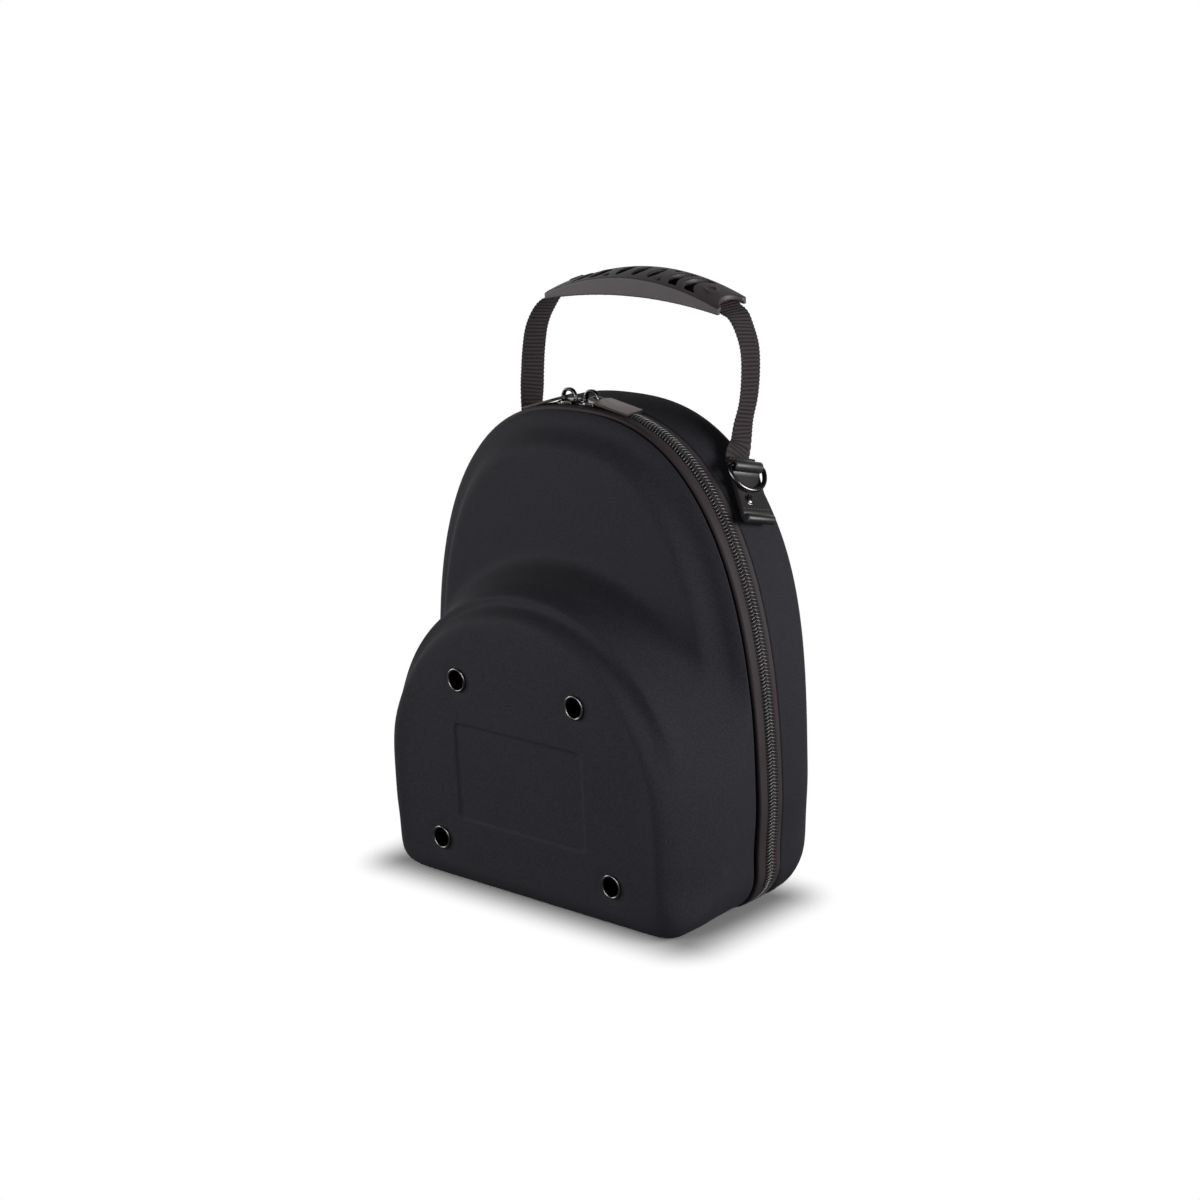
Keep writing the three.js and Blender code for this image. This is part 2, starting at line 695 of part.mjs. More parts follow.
// Grip: an upside-down channel with a crowned top, bent along the hand and pierced from above
function gripGeometry() {
  const { y, half, width, side } = grip;
  const outer = width / 2;
  const inner = outer - side;
  const steps = 14;
  const outlineAt = (x) => {
    const points = [[-inner, gripCeiling(x)], [-inner, gripFoot(x)], [-outer, gripFoot(x)]];
    for (let i = 0; i <= 6; i += 1) {
      const v = lerp(-1, 1, i / 6);
      points.push([outer * v, gripCrest(x) - gripBend.crownDrop * v * v]);
    }
    points.push([outer, gripFoot(x)], [inner, gripFoot(x)], [inner, gripCeiling(x)]);
    return points.map(([v, z]) => [v, z + gripBend.tilt * v]);
  };
  const rings = [];
  for (let i = 0; i <= steps; i += 1) {
    const x = lerp(-half, half, i / steps);
    rings.push(outlineAt(x).map(([v, z]) => ({ x, y: y + v, z })));
  }
  const endOutline = outlineAt(half).map(([v, z]) => new THREE.Vector2(v, z));
  return cut(loft(rings, { endOutline }), gripSlots());
}

function buildShells(group) {
  const frontRaw = shellGeometry(frontSkin, { slope: 14, face: 6 }, { slope: 9, face: 3 });
  const holes = eyelets.flatMap(({ x, z }) => [eyeletHole(-x, z), eyeletHole(x, z)]);
  group.add(piece("front_shell", cut(frontRaw, holes), cloth));
  const backRaw = shellGeometry(backSkin, { wall: 3, round: 7 }, { wall: 2, round: 5 });
  group.add(piece("back_shell", backRaw, cloth));
}

function buildBands(group) {
  const open = [hingeStation, stations.length - hingeStation + 1];
  group.add(piece("edge_binding", bandGeometry(binding, 0, stations.length), trim));
  group.add(piece("zip_tape_front", bandGeometry(tapeCorners(tape.front, -tape.middle), ...open), trim));
  group.add(piece("zip_tape_back", bandGeometry(tapeCorners(tape.middle, tape.back), ...open), trim));
  group.add(piece("zip_chain", bandGeometry(chainCorners(), ...open), coil));
  group.add(piece("hinge_strip", hingeStripGeometry(), trim));
}

function buildEyelets(group) {
  for (const { row, x, z } of eyelets) {
    for (const [side, sign] of [["left", -1], ["right", 1]]) {
      const mesh = piece(`eyelet_${row}_${side}`, eyeletGeometry(), darkMetal);
      mesh.rotation.x = Math.PI;
      mesh.position.set(sign * x, frontEdgeY - crown.depth, z);
      group.add(mesh);
    }
  }
}

function buildSliders(group) {
  for (const { side, x, turn, dip } of sliders) {
    const { z, slope } = archOver(x);
    const seat = new THREE.Group();
    seat.position.set(x, 0, z + chain.proud + fit);
    seat.rotation.y = -Math.atan(slope);
    seat.add(piece(`zip_slider_${side}`, sliderGeometry(), darkMetal));
    const flap = piece(`zip_pull_${side}`, pullGeometry(), darkMetal);
    flap.position.set(turn * pull.pivotX, 0, slider.plate + pull.pivotZ);
    flap.rotation.order = "ZYX";
    flap.rotation.z = turn > 0 ? 0 : Math.PI;
    flap.rotation.y = THREE.MathUtils.degToRad(dip);
    seat.add(flap);
    group.add(seat);
  }
}

function buildHandle(group) {
  group.add(piece("handle_webbing", webbingGeometry(), trim));
  group.add(piece("handle_grip", gripGeometry(), rubber));
  group.add(piece("tab_right", tabGeometry(), leather));
  group.add(piece("tab_left", mirrored(tabGeometry()), leather));
  group.add(piece("d_ring_right", ringGeometry(), darkMetal));
  group.add(piece("d_ring_left", mirrored(ringGeometry()), darkMetal));
}

const carrier = new THREE.Group();
carrier.position.y = middleY;
buildShells(carrier);
buildBands(carrier);
buildEyelets(carrier);
buildSliders(carrier);
buildHandle(carrier);

export default carrier;
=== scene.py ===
# Looks of a moulded cap carrier: cloth shells, coil zip, webbing handle and dark metal trim.
# Shapes are worked out in millimetres from the zip's middle plane and placed in metres.
import math

import bmesh
import bpy
import numpy as np
from mathutils import Matrix, Vector


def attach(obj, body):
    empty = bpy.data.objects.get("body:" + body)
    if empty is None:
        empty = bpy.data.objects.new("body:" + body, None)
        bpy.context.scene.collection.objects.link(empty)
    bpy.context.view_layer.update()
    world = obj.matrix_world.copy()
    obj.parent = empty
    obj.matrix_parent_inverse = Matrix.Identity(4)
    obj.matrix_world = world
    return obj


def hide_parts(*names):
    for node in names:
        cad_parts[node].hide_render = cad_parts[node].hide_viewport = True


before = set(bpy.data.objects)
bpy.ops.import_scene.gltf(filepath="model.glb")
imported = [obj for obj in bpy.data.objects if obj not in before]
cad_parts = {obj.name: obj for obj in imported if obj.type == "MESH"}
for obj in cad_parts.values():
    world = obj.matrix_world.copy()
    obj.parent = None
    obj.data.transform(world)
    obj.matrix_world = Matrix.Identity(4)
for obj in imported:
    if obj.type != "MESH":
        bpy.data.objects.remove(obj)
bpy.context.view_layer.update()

MM = 0.001
MM_PER_CM = 10
CM_PER_METRE = 100
SHIFT_Y = 7.8
CASE = "case"
FIT = 0.3
SIDES = {"left": -1, "right": 1}
TINY = 1e-9
# Distance in metres at which points merge, and width in millimetres of the seam in a strip's UV map
MERGED_AT = 1e-7
UV_SEAM = 0.05
BEVEL_STEPS = 2
CAST_EASE = 0.5

# Angles in degrees past which an edge stays sharp
CREASE = 40
PLATE_CREASE = 50
CLOTH_CREASE = 60
CAST_CREASE = 80

# Outline of the zip, and the edges and walls of the two shells
FLOOR_GAP = 1.6
RIM = dict(height=305, half_width=135, base_half=131.5, widest_at=78, roundness=2.51, corner=29.5,
           floor=FLOOR_GAP)
FRONT_EDGE_Y = -15
BACK_EDGE_Y = 9.7
WALL = 4
FINE_STEPS = 600
STATIONS = dict(base=20, bend=14, arch=110)
SETTLE_FRONT = 0.25
SETTLE_BACK = 0.17
BASE_FADE = 1.5

# Front shell: plateau above, crown below, one plain panel pressed into the crown's face
PLATEAU = dict(depth=17, flange=7, flange_depth=3.2, reach=16)
CROWN = dict(depth=67, base_round=14, centre_z=75, flat_to=108, foot=152, fillet=9)
CROWN_FACE_Y = FRONT_EDGE_Y - CROWN["depth"]
# Step over the crown: places from the crown's centre, widths and heights of a hollow and a ledge
STEP = dict(from_z=95, fade=60, folds=((116.4, 3.0, -4.2), (123.4, 2.6, 4.8)))
SHOULDER = dict(place=121, width=12, height=3.3, from_z=12, fade=40)
PANEL = dict(x=-1, z=79, half_x=55, half_z=33, corner=5, shoulder=2.2, depth=0.9, behind_face=3,
             fine_within=2, cuts=2)

# Back shell
CUP = dict(depth=40, swell=2, side_round=27, top_round=14, base_round=36, corner=39, face_z=130,
           top_from=60, top_full=230, straight=0.34)

# Rows of points on the skins, their spacing, and how far they are softened along and around
ROWS = dict(edge=9, front_wall=25, crown=140, crown_face=40, cup=80, cup_face=30)
OUTER_SKIN = dict(near=9, near_step=0.6, count=110, face_count=40)
INNER_SKIN = dict(near=6, near_step=2, count=24, face_count=12)
SOFTNESS = dict(outer=(1.8, 1.2), inner=(1.0, 1.2), low=(7, 2))
EASED = dict(from_row=10, grow=12, to_row=36, fade=24, below_z=100, fade_z=60)

# Bands along the zip
BINDING = dict(front=-13.1, back=-6.1, proud=1.2, lip=(4.4, 5.2), lip_reach=4, foot=0.6, fullness=0.55,
               steps=9)
TAPE = dict(sunk=1.9, thick=1.2, front=-5.7, middle=0.15, back=9.4, rise=1.5, rise_fade=1.8, steps=15)
HINGE = dict(half=90, lift=0.6, bulge=0.35, steps=13, columns=60)
# Coil: arch gives where its loops start on a half turn, how much of it they take, and their fullness
COIL = dict(half=4.9, pitch=2.2, wire=0.58, height=1.35, slant=1.9, overlap=0.7, sink=0.55,
            arch=(0.12, 0.8, 0.7), swell=(0.62, 0.86, 0.9, 0.9, 0.95, 1.02, 0.6))
WIRE_SIDES = 8

EYELETS = {"upper": (50, 140), "lower": (73, 30)}
EYELET = dict(bore=6.1, barrel=6.9, flange=7.9, proud=1.1, seat=0.3, hole=7.2, roll_steps=13, sides=56)
EYELET_DIP = dict(depth=0.55, reach=6, behind_face=12, fade=8)
DRILL = dict(ahead=5, behind=12, sides=48)

# Sliders: place along x, side that the pull lies on, and the pull's dip in degrees
SLIDERS = {"left": (-17, -1, 12.9), "right": (1.6, 1, 10.5)}
SLIDER = dict(length=12.5, half=5.7, plate=2, drop=1.8, flange=1, seat=0.9, nose=1.1, waist=0.2,
              corner=1.6, bevel=0.5, wall_top=1, wall_back=0.6, wall_front=0.3, wall_corner=0.35,
              wall_bevel=0.25, voxel=0.28, rounds=4)
BRIDGE = dict(half=5.2, top=8.4, width=2.7, thick=2.1, foot=0.6, fullness=(0.8, 0.75), corner=0.45,
              steps=25)
PULL = dict(pivot_x=1.4, pivot_z=2.2, bar=1, eye=2.3, eye_end=5.4, arm=4, shoulder=2, length=34,
            half=8, thick=1.7, bevel=0.35, corner=0.8, eye_corner=0.6, face_from=0.8)

# Handle
WEBBING = dict(width=19.6, thick=1.6, lift=0.6, toe_in=5, toe_from=285, toe_fade=20, grip_fade=12,
               rib=2.45, rib_depth=0.55, edge_dip=0.1, fullness=0.35, steps=1500, sides=36)
WEBBING_IN_GRIP = (0, 18, 36, 54, 66)
WEBBING_FREE = ((71.5, 52.8, 362.2), (77.5, 52, 358.8), (84.5, 50, 350), (88.8, 48.4, 340),
                (90.6, 46.2, 325), (90.4, 43.7, 310), (88.6, 40, 295), (88, 37.6, 283))
WEBBING_UNDER_TAB = (-21, -15, -4, 6, 14, 20)
CURVE_STEPS = 40
GRIP = dict(y=53.5, half=72, width=28, side=2.4, plate=3.6, crest=381.8, foot=368.6, top_radius=181,
            foot_radius=379, tilt=0.12, crown_drop=1.6, notch=12, notch_out=6, notch_sides=48,
            cut_below=12, cut_above=6, stations=73, top_points=17, voxel=0.5, rounds=6)
SLOT = dict(pitch=12.8, half=9.4, wide=3.1, reach=10.6, sliver_x=21.5, sliver_half=2.4, sliver_tip=6.2,
            thinness=1.15, leaf_sides=40, crescent_steps=31)
# Crescent slots: arcs nearer the grip's middle and nearer its end, as centres and radii
CRESCENTS = (((39.5, 14), (46.5, 14)), ((51, 13), (56, 11)))
BOSS = dict(x=56, radius=3.7, wire=0.8, steps=41)

# Tabs, seen from the side: x runs down the tab, the height out from the shell
TAB = dict(z=256.8, y=25.3, lean=17.8, width=22, low=2.65, thick=2.4, lip=3, top=-20, bar=-12.8,
           bottom=22.6, bevel=0.5, nick=0.4, chamfer=0.5)
TAB_ROLL = dict(back=0.7, turn=(-0.45, 1.1), steps=17, foot=(1.55, 0.25), end=2.2)
TAB_LOOP = dict(thick=2.1, turn=0.35, steps=21, ease=(0.7, 0.2), below=2.2, above=1.6, slack=0.4, sides=32)
STITCH = dict(path=((-0.95, 0, -0.1), (-0.6, 0, 0.1), (0, 0, 0.16), (0.6, 0, 0.1), (0.95, 0, -0.1)),
              wire=(0.12, 0.2, 0.22, 0.2, 0.12), rows=(15, -7.6, -18.4), inset=1.7, lift=0.05, pitch=2.6,
              steps=12)
RIVET = dict(along=8.8, aside=-3, sides=32,
             profile=((0.05, 1.15), (1.2, 1.08), (2.1, 0.86), (2.7, 0.5), (2.9, 0.3), (3.4, 0.3),
                      (3.6, 0.15), (3.6, -0.3), (0.05, -0.3)))
RING = dict(wire=1.5, half=14, corner=2.5, drop=16, above=6.9, shift=-0.7, corner_steps=7, bow_steps=25,
            bar_steps=12, sides=20)

# Stage, in metres apart from the camera, which is in millimetres and degrees
CAMERA = dict(azimuth=42.801, elevation=15.749, distance=1654.6, right=-0.163, up=173.21, roll=-2.904,
              lens=76.26, sensor=36, clip=(0.05, 50))
# The floor's grey tone is a painted contact shadow round the base; middle and half give the base's footprint,
# fade the distances over which it fades out
FLOOR = dict(reach=1.5, tone=0.27, roughness=0.9, gloss=0.05, middle=(0, -0.017, 0),
             half=(0.118, 0.043, 0), fade=(-0.0015, 0.042))
DAYLIGHT = ((0.0, 0.06), (0.46, 0.1), (0.51, 0.5), (0.62, 0.1), (0.9, 0.02))
BACKDROP = dict(towards=(-0.68, 0.733, 0), start=0.5, full=0.9, strength=0.9)
LIGHT_AIM = (0, 0, 0.3)
# Soft boxes: place, size and power
SOFT_BOXES = {"left_box": ((-1.0, -0.55, 0.38), (0.6, 0.4), 8.6),
              "front_box": ((0.1, -0.9, 0.38), (0.7, 0.3), 7.6),
              "right_box": ((1.1, 0.35, 0.4), (0.7, 0.4), 22)}


def mix(a, b, t):
    return a + (b - a) * t


def smooth(t):
    t = np.clip(t, 0, 1)
    return t * t * (3 - 2 * t)


def filled(value, power):
    """A signed power: under 1 it fills a round out towards a square, over 1 it thins it."""
    return np.sign(value) * np.abs(value) ** power


def full_turn(sides):
    return np.arange(sides) * 2 * math.pi / sides


def unit(vectors):
    return vectors / np.maximum(np.linalg.norm(vectors, axis=1), TINY)[:, None]


def run(points):
    """Length along a line of points, from 0 at its start."""
    return np.concatenate([[0], np.cumsum(np.linalg.norm(np.diff(points, axis=0), axis=1))])


def at_stops(values, length, stops):
    return np.stack([np.interp(stops, length, column) for column in values.T], 1)


# Outline of the zip
def half_outline(height, half_width, base_half, widest_at, roundness, corner, floor):
    """Base, corner, and side with arched top of half an outline, as fine lines of (x, z)."""
    t = np.linspace(0, 1, FINE_STEPS)
    flat = base_half - corner
    base = np.stack([flat * t, np.full_like(t, floor)], 1)
    a = math.pi / 2 * (t - 1)
    bend = np.stack([flat + corner * np.cos(a), floor + corner + corner * np.sin(a)], 1)
    side = np.stack([mix(base_half, half_width, smooth(t)), mix(floor + corner, widest_at, t)], 1)
    a = math.pi / 2 * (1 - t)
    power = 2 / roundness
    top = np.stack([half_width * np.sin(a) ** power,
                    widest_at + (height - widest_at) * np.abs(np.cos(a)) ** power], 1)
    return base, bend, np.concatenate([side[:-1], top])


def along_line(line, shares):
    """Points at shares of a line's length, with the normal to the left of its direction."""
    length = run(line)
    stops = np.asarray(shares) * length[-1]
    ahead = unit(at_stops(np.gradient(line, length, axis=0), length, stops))
    return np.concatenate([at_stops(line, length, stops), np.stack([-ahead[:, 1], ahead[:, 0]], 1)], 1)


def outline_stations(shape):
    """Rows of x, z and inward normal round a whole outline, from the middle of the base."""
    parts = []
    for line, count, first in zip(half_outline(**shape), STATIONS.values(), (0, 1, 1)):
        parts.append(along_line(line, np.arange(first, count + 1) / count))
    half = np.concatenate(parts)
    half[-1] = (0, shape["height"], 0, -1)
    left = half[1:-1][::-1] * np.array([-1, 1, -1, 1])
    return np.concatenate([half, left])


rim = outline_stations(RIM)
SIDE_SHARE = 1 - np.maximum(0, rim[:, 3]) ** BASE_FADE
SETTLE = FLOOR_GAP * (1 - SIDE_SHARE)
HINGE_AT = round(STATIONS["base"] * HINGE["half"] / (RIM["base_half"] - RIM["corner"]))
ZIP_SPAN = (HINGE_AT, len(rim) - HINGE_AT + 1)


def rim_points(sunk, y):
    """The rim's stations, sunk inwards, at a place along y."""
    return np.stack([rim[:, 0] + rim[:, 2] * sunk, np.broadcast_to(y, len(rim)),
                     rim[:, 1] + rim[:, 3] * sunk], 1)


def arch_over(x):
    """Height and slope of the arched top over x."""
    n = RIM["roundness"]
    share = 1 - (abs(x) / RIM["half_width"]) ** n
    rise = RIM["height"] - RIM["widest_at"]
    pace = (abs(x) / RIM["half_width"]) ** (n - 1) * share ** (1 / n - 1)
    slope = -math.copysign(pace, x) * rise / RIM["half_width"]
    return RIM["widest_at"] + rise * share ** (1 / n), slope


def eyelet_places():
    return [(f"{row}_{side}", sign * x, z) for row, (x, z) in EYELETS.items()
            for side, sign in SIDES.items()]


# Meshes
def metres(points):
    return (np.asarray(points, float) + np.array([0, SHIFT_Y, 0])) * MM


def unplaced(points):
    """Points that stay in millimetres when their mesh is made, for a piece that is seated later."""
    return np.asarray(points, float) / MM - np.array([0, SHIFT_Y, 0])


def linked(name, mesh, crease=CREASE):
    mesh.validate()
    mesh.polygons.foreach_set("use_smooth", [True] * len(mesh.polygons))
    mesh.set_sharp_from_angle(angle=math.radians(crease))
    obj = bpy.data.objects.new(name, mesh)
    bpy.context.scene.collection.objects.link(obj)
    return obj


def mesh_object(name, points, faces, crease=CREASE):
    """A new object from points in millimetres, smooth apart from edges sharper than an angle."""
    mesh = bpy.data.meshes.new(name)
    mesh.from_pydata(metres(points).tolist(), [], faces)
    return linked(name, mesh, crease)


def outward(obj):
    """Merges doubles and turns the faces of a closed mesh outwards."""
    work = bmesh.new()
    work.from_mesh(obj.data)
    bmesh.ops.remove_doubles(work, verts=work.verts, dist=MERGED_AT)
    bmesh.ops.recalc_face_normals(work, faces=work.faces)
    work.to_mesh(obj.data)
    work.free()
    return obj


def applied(obj, name, crease=CREASE):
    """The object's mesh with its modifiers, as a new plain object in its place."""
    depsgraph = bpy.context.evaluated_depsgraph_get()
    mesh = bpy.data.meshes.new_from_object(obj.evaluated_get(depsgraph))
    mesh.name = name
    bpy.data.objects.remove(obj)
    return linked(name, mesh, crease)


def grid_faces(rows, columns, closed=False):
    faces = []
    for r in range(rows if closed else rows - 1):
        n = (r + 1) % rows
        for c in range(columns):
            d = (c + 1) % columns
            faces.append((r * columns + c, r * columns + d, n * columns + d, n * columns + c))
    return faces


def tube_faces(rows, columns, closed):
    """Faces of a tube through rings of points. Open ends are filled."""
    faces = grid_faces(rows, columns, closed)
    if not closed:
        faces.append(tuple(range(columns))[::-1])
        faces.append(tuple(range((rows - 1) * columns, rows * columns)))
    return faces


def swept(name, sections, closed, crease=CREASE):
    """A tube through sections, each a closed ring of points."""
    faces = tube_faces(*sections.shape[:2], closed)
    return outward(mesh_object(name, sections.reshape(-1, 3), faces, crease))


def turned(profile, sides):
    """Sections of a profile of (radius, height) turned about z."""
    profile = np.asarray(profile, float)
    return np.stack([np.stack([profile[:, 0] * math.cos(a), profile[:, 0] * math.sin(a), profile[:, 1]], 1)
                     for a in full_turn(sides)])


def tube(points, radius):
    """Sections of a round wire along points."""
    points = np.asarray(points, float)
    along = unit(np.gradient(points, axis=0))
    side = unit(np.cross(along, np.array([0, 0, 1.0])))
    over = np.cross(side, along)
    a = full_turn(WIRE_SIDES)[:, None]
    radius = np.broadcast_to(radius, len(points))[:, None, None]
    return points[:, None] + radius * (side[:, None] * np.cos(a) + over[:, None] * np.sin(a))


def plate(name, outlines, thick, bevel):
    """A flat bevelled plate from outlines in millimetres, holes included, round z = 0."""
    curve = bpy.data.curves.new(name, "CURVE")
    curve.dimensions = "2D"
    curve.fill_mode = "BOTH"
    curve.extrude = thick / 2 - bevel
    curve.bevel_depth = bevel
    curve.bevel_resolution = BEVEL_STEPS
    curve.offset = -bevel
    for outline in outlines:
        spline = curve.splines.new("POLY")
        spline.points.add(len(outline) - 1)
        spline.use_cyclic_u = True
        for point, (x, y) in zip(spline.points, outline):
            point.co = (x, y, 0, 1)
    flat = bpy.data.objects.new(name, curve)
    bpy.context.scene.collection.objects.link(flat)
    return outward(applied(flat, name, PLATE_CREASE))


def seated(obj, matrix):
    """Puts a mesh made in millimetres in its place, given in millimetres, and in metres."""
    place = Matrix.Diagonal((MM, MM, MM, 1)) @ Matrix.Translation((0, SHIFT_Y, 0)) @ matrix
    obj.data.transform(place)
    if place.determinant() < 0:
        obj.data.flip_normals()
    return obj


def pierced(obj, cutters, name, crease=CREASE):
    """The object with closed cutters taken out of it. The cutters are used up."""
    for cutter in cutters:
        cut = obj.modifiers.new("cut", "BOOLEAN")
        cut.operation = "DIFFERENCE"
        cut.solver = "EXACT"
        cut.object = cutter
    bored = applied(obj, name, crease)
    for cutter in cutters:
        bpy.data.objects.remove(cutter)
    return bored


def fused(parts, name, voxel, rounds):
    """Closed parts made one casting with soft edges. The parts are used up."""
    work = bmesh.new()
    for part in parts:
        work.from_mesh(part.data)
        bpy.data.objects.remove(part)
    mesh = bpy.data.meshes.new(name)
    work.to_mesh(mesh)
    work.free()
    obj = linked(name, mesh)
    cast = obj.modifiers.new("cast", "REMESH")
    cast.mode = "VOXEL"
    cast.voxel_size = voxel
    ease = obj.modifiers.new("ease", "SMOOTH")
    ease.factor = CAST_EASE
    ease.iterations = rounds
    return applied(obj, name, CAST_CREASE)


def rounded_outline(corners, radius, steps=5):
    """A polygon with its corners rounded, counter-clockwise."""
    points = []
    corners = [Vector(c) for c in corners]
    for i, corner in enumerate(corners):
        back = (corners[i - 1] - corner).normalized()
        ahead = (corners[(i + 1) % len(corners)] - corner).normalized()
        half = back.angle(ahead) / 2
        reach = radius / math.tan(half)
        centre = corner + (back + ahead).normalized() * (radius / math.sin(half))
        start = corner + back * reach - centre
        turn = start.angle_signed(corner + ahead * reach - centre)
        for k in range(steps + 1):
            spoke = start.copy()
            spoke.rotate(Matrix.Rotation(-turn * k / steps, 2))
            points.append(tuple(centre + spoke))
    return points


def rounded_box(x0, y0, x1, y1, radius):
    return rounded_outline([(x0, y0), (x1, y0), (x1, y1), (x0, y1)], radius)


def circle(x, y, radius, sides):
    a = full_turn(sides)
    return np.stack([x + radius * np.cos(a), y + radius * np.sin(a)], 1)


def box_uv(obj):
    """A UV map in centimetres, laid on each face along the axis that it faces most."""
    mesh = obj.data
    co = np.empty(len(mesh.vertices) * 3)
    mesh.vertices.foreach_get("co", co)
    co = co.reshape(-1, 3) * CM_PER_METRE
    uv = mesh.uv_layers.new(name="weave")
    flat = np.empty((len(mesh.loops), 2))
    for face in mesh.polygons:
        axis = max(range(3), key=lambda k: abs(face.normal[k]))
        keep = [k for k in range(3) if k != axis]
        flat[list(face.loop_indices)] = co[list(face.vertices)][:, keep]
    uv.data.foreach_set("uv", flat.ravel())


def strip_uv(obj, along, across):
    """A UV map in centimetres for a swept strip: along it and round its section."""
    mesh = obj.data
    columns = len(across)
    seam = across[-1] + UV_SEAM
    uv = mesh.uv_layers.new(name="weave")
    flat = np.zeros((len(mesh.loops), 2))
    for face in mesh.polygons:
        r, c = np.divmod(np.array(face.vertices), columns)
        v = across[c]
        if c.max() - c.min() == columns - 1:
            v = np.where(c == 0, seam, v)
        u = along[np.minimum(r, len(along) - 1)]
        flat[list(face.loop_indices)] = np.stack([u, v], 1) / MM_PER_CM
    uv.data.foreach_set("uv", flat.ravel())


# Shells
def soften(points, along, around):
    """Gaussian smoothing of a grid of points, along its rows and round its columns."""
    def blur(values, sigma, axis, wrap):
        reach = int(3 * sigma) + 1
        offsets = np.arange(-reach, reach + 1)
        weights = np.exp(-(offsets / sigma) ** 2 / 2)
        weights /= weights.sum()
        count = values.shape[axis]
        total = 0
        for offset, weight in zip(offsets, weights):
            index = np.arange(count) + offset
            index = index % count if wrap else np.clip(index, 0, count - 1)
            total = total + weight * np.take(values, index, axis)
        return total
    softer = blur(points, along, 0, False)
    softer[0] = points[0]
    softer[-1] = points[-1]
    return blur(softer, around, 1, True)


def respaced(lines, turn, near, near_step, count, face_count):
    """Lines of points, respaced: small steps at the edge, a count to the turn, a count over the face."""
    out = []
    for k in range(lines.shape[1]):
        length = run(lines[:, k])
        stops = np.concatenate([np.arange(0, near, near_step),
                                np.linspace(near, length[turn], count, endpoint=False),
                                np.linspace(length[turn], length[-1], face_count)])
        out.append(at_stops(lines[:, k], length, stops))
    return np.stack(out, 1)


def fillet_max(a, b, fillet):
    """The larger of two depths, with a fillet where they meet."""
    h = np.maximum(0, fillet - np.abs(a - b)) / np.maximum(fillet, TINY)
    return np.maximum(a, b) + h * h * fillet / 4


def from_crown(x, z):
    """Distance from the crown's centre line, level below its centre and round above it."""
    return np.hypot(x, np.maximum(0, z - CROWN["centre_z"]))


def front_depth(x, z, sunk):
    rise = np.clip(sunk / PLATEAU["flange"], 0, 1)
    shoulder = smooth((sunk - PLATEAU["flange"]) / PLATEAU["reach"])
    low = mix(PLATEAU["flange_depth"] * (1 - (1 - rise) ** 2), PLATEAU["depth"], shoulder)
    slope = smooth((CROWN["foot"] - from_crown(x, z)) / (CROWN["foot"] - CROWN["flat_to"]))
    return np.minimum(CROWN["depth"], fillet_max(low, CROWN["depth"] * slope, CROWN["fillet"] * rise))


def edge_rows(y):
    """Rows over the thickness of a shell's edge, from its inside out."""
    return [rim_points(sunk, y) for sunk in np.linspace(WALL, 0, ROWS["edge"])[:-1]]


def front_lines(inset):
    """Lines of the front shell's skin from its edge to the middle of the crown's face."""
    x, z, nx, nz = rim.T
    base_end = 1 - CROWN["base_round"] / (CROWN["centre_z"] - FLOOR_GAP)
    flat_end = CROWN["flat_to"] / np.maximum(from_crown(x, z), CROWN["flat_to"])
    end = mix(base_end, np.minimum(flat_end, base_end), SIDE_SHARE)

    def at(u):
        k = np.minimum(1, (1 - u) / (1 - end))
        px = x * u
        pz = mix(CROWN["centre_z"], z, u)
        sunk = (px - x) * nx + (pz - z) * nz
        round_off = CROWN["base_round"] * (1 - np.sqrt(1 - (1 - k) ** 2))
        deep = mix(CROWN["depth"] - round_off, front_depth(px, pz, sunk), SIDE_SHARE)
        push = inset * (1 - k) - SETTLE * u
        return np.stack([px + nx * push, FRONT_EDGE_Y - np.maximum(0, deep - inset), pz + nz * push], 1)

    rings = [] if inset else edge_rows(FRONT_EDGE_Y)
    top = at(np.ones(len(rim)))
    for t in np.linspace(0, 1, ROWS["front_wall"])[:-1]:
        settle = SETTLE * min(1, t / SETTLE_FRONT)
        ring = rim_points(inset, FRONT_EDGE_Y)
        ring[:, 0] -= nx * settle
        ring[:, 2] -= nz * settle
        ring[:, 1] = mix(FRONT_EDGE_Y, top[:, 1], t)
        rings.append(ring)
    rings += [at(mix(1, end, t)) for t in np.linspace(0, 1, ROWS["crown"])]
    turn = len(rings) - 1
    rings += [at(mix(end, 0, t)) for t in np.linspace(0, 1, ROWS["crown_face"])[1:]]
    return np.stack(rings), turn


def rounded_wall(t, swell, round_off):
    """Share of the way in to the cup's face, and depth, along a wall that swells and then rounds in."""
    swell_share = -swell / (round_off - swell)
    k = np.clip(t / CUP["straight"], 0, 1)
    a = np.clip((t - CUP["straight"]) / (1 - CUP["straight"]), 0, 1) * math.pi / 2
    straight = t <= CUP["straight"]
    across = np.where(straight, swell_share * smooth(k), mix(swell_share, 1, 1 - np.cos(a)))
    deep = np.where(straight, (CUP["depth"] - round_off) * k, CUP["depth"] - round_off * (1 - np.sin(a)))
    return across, deep


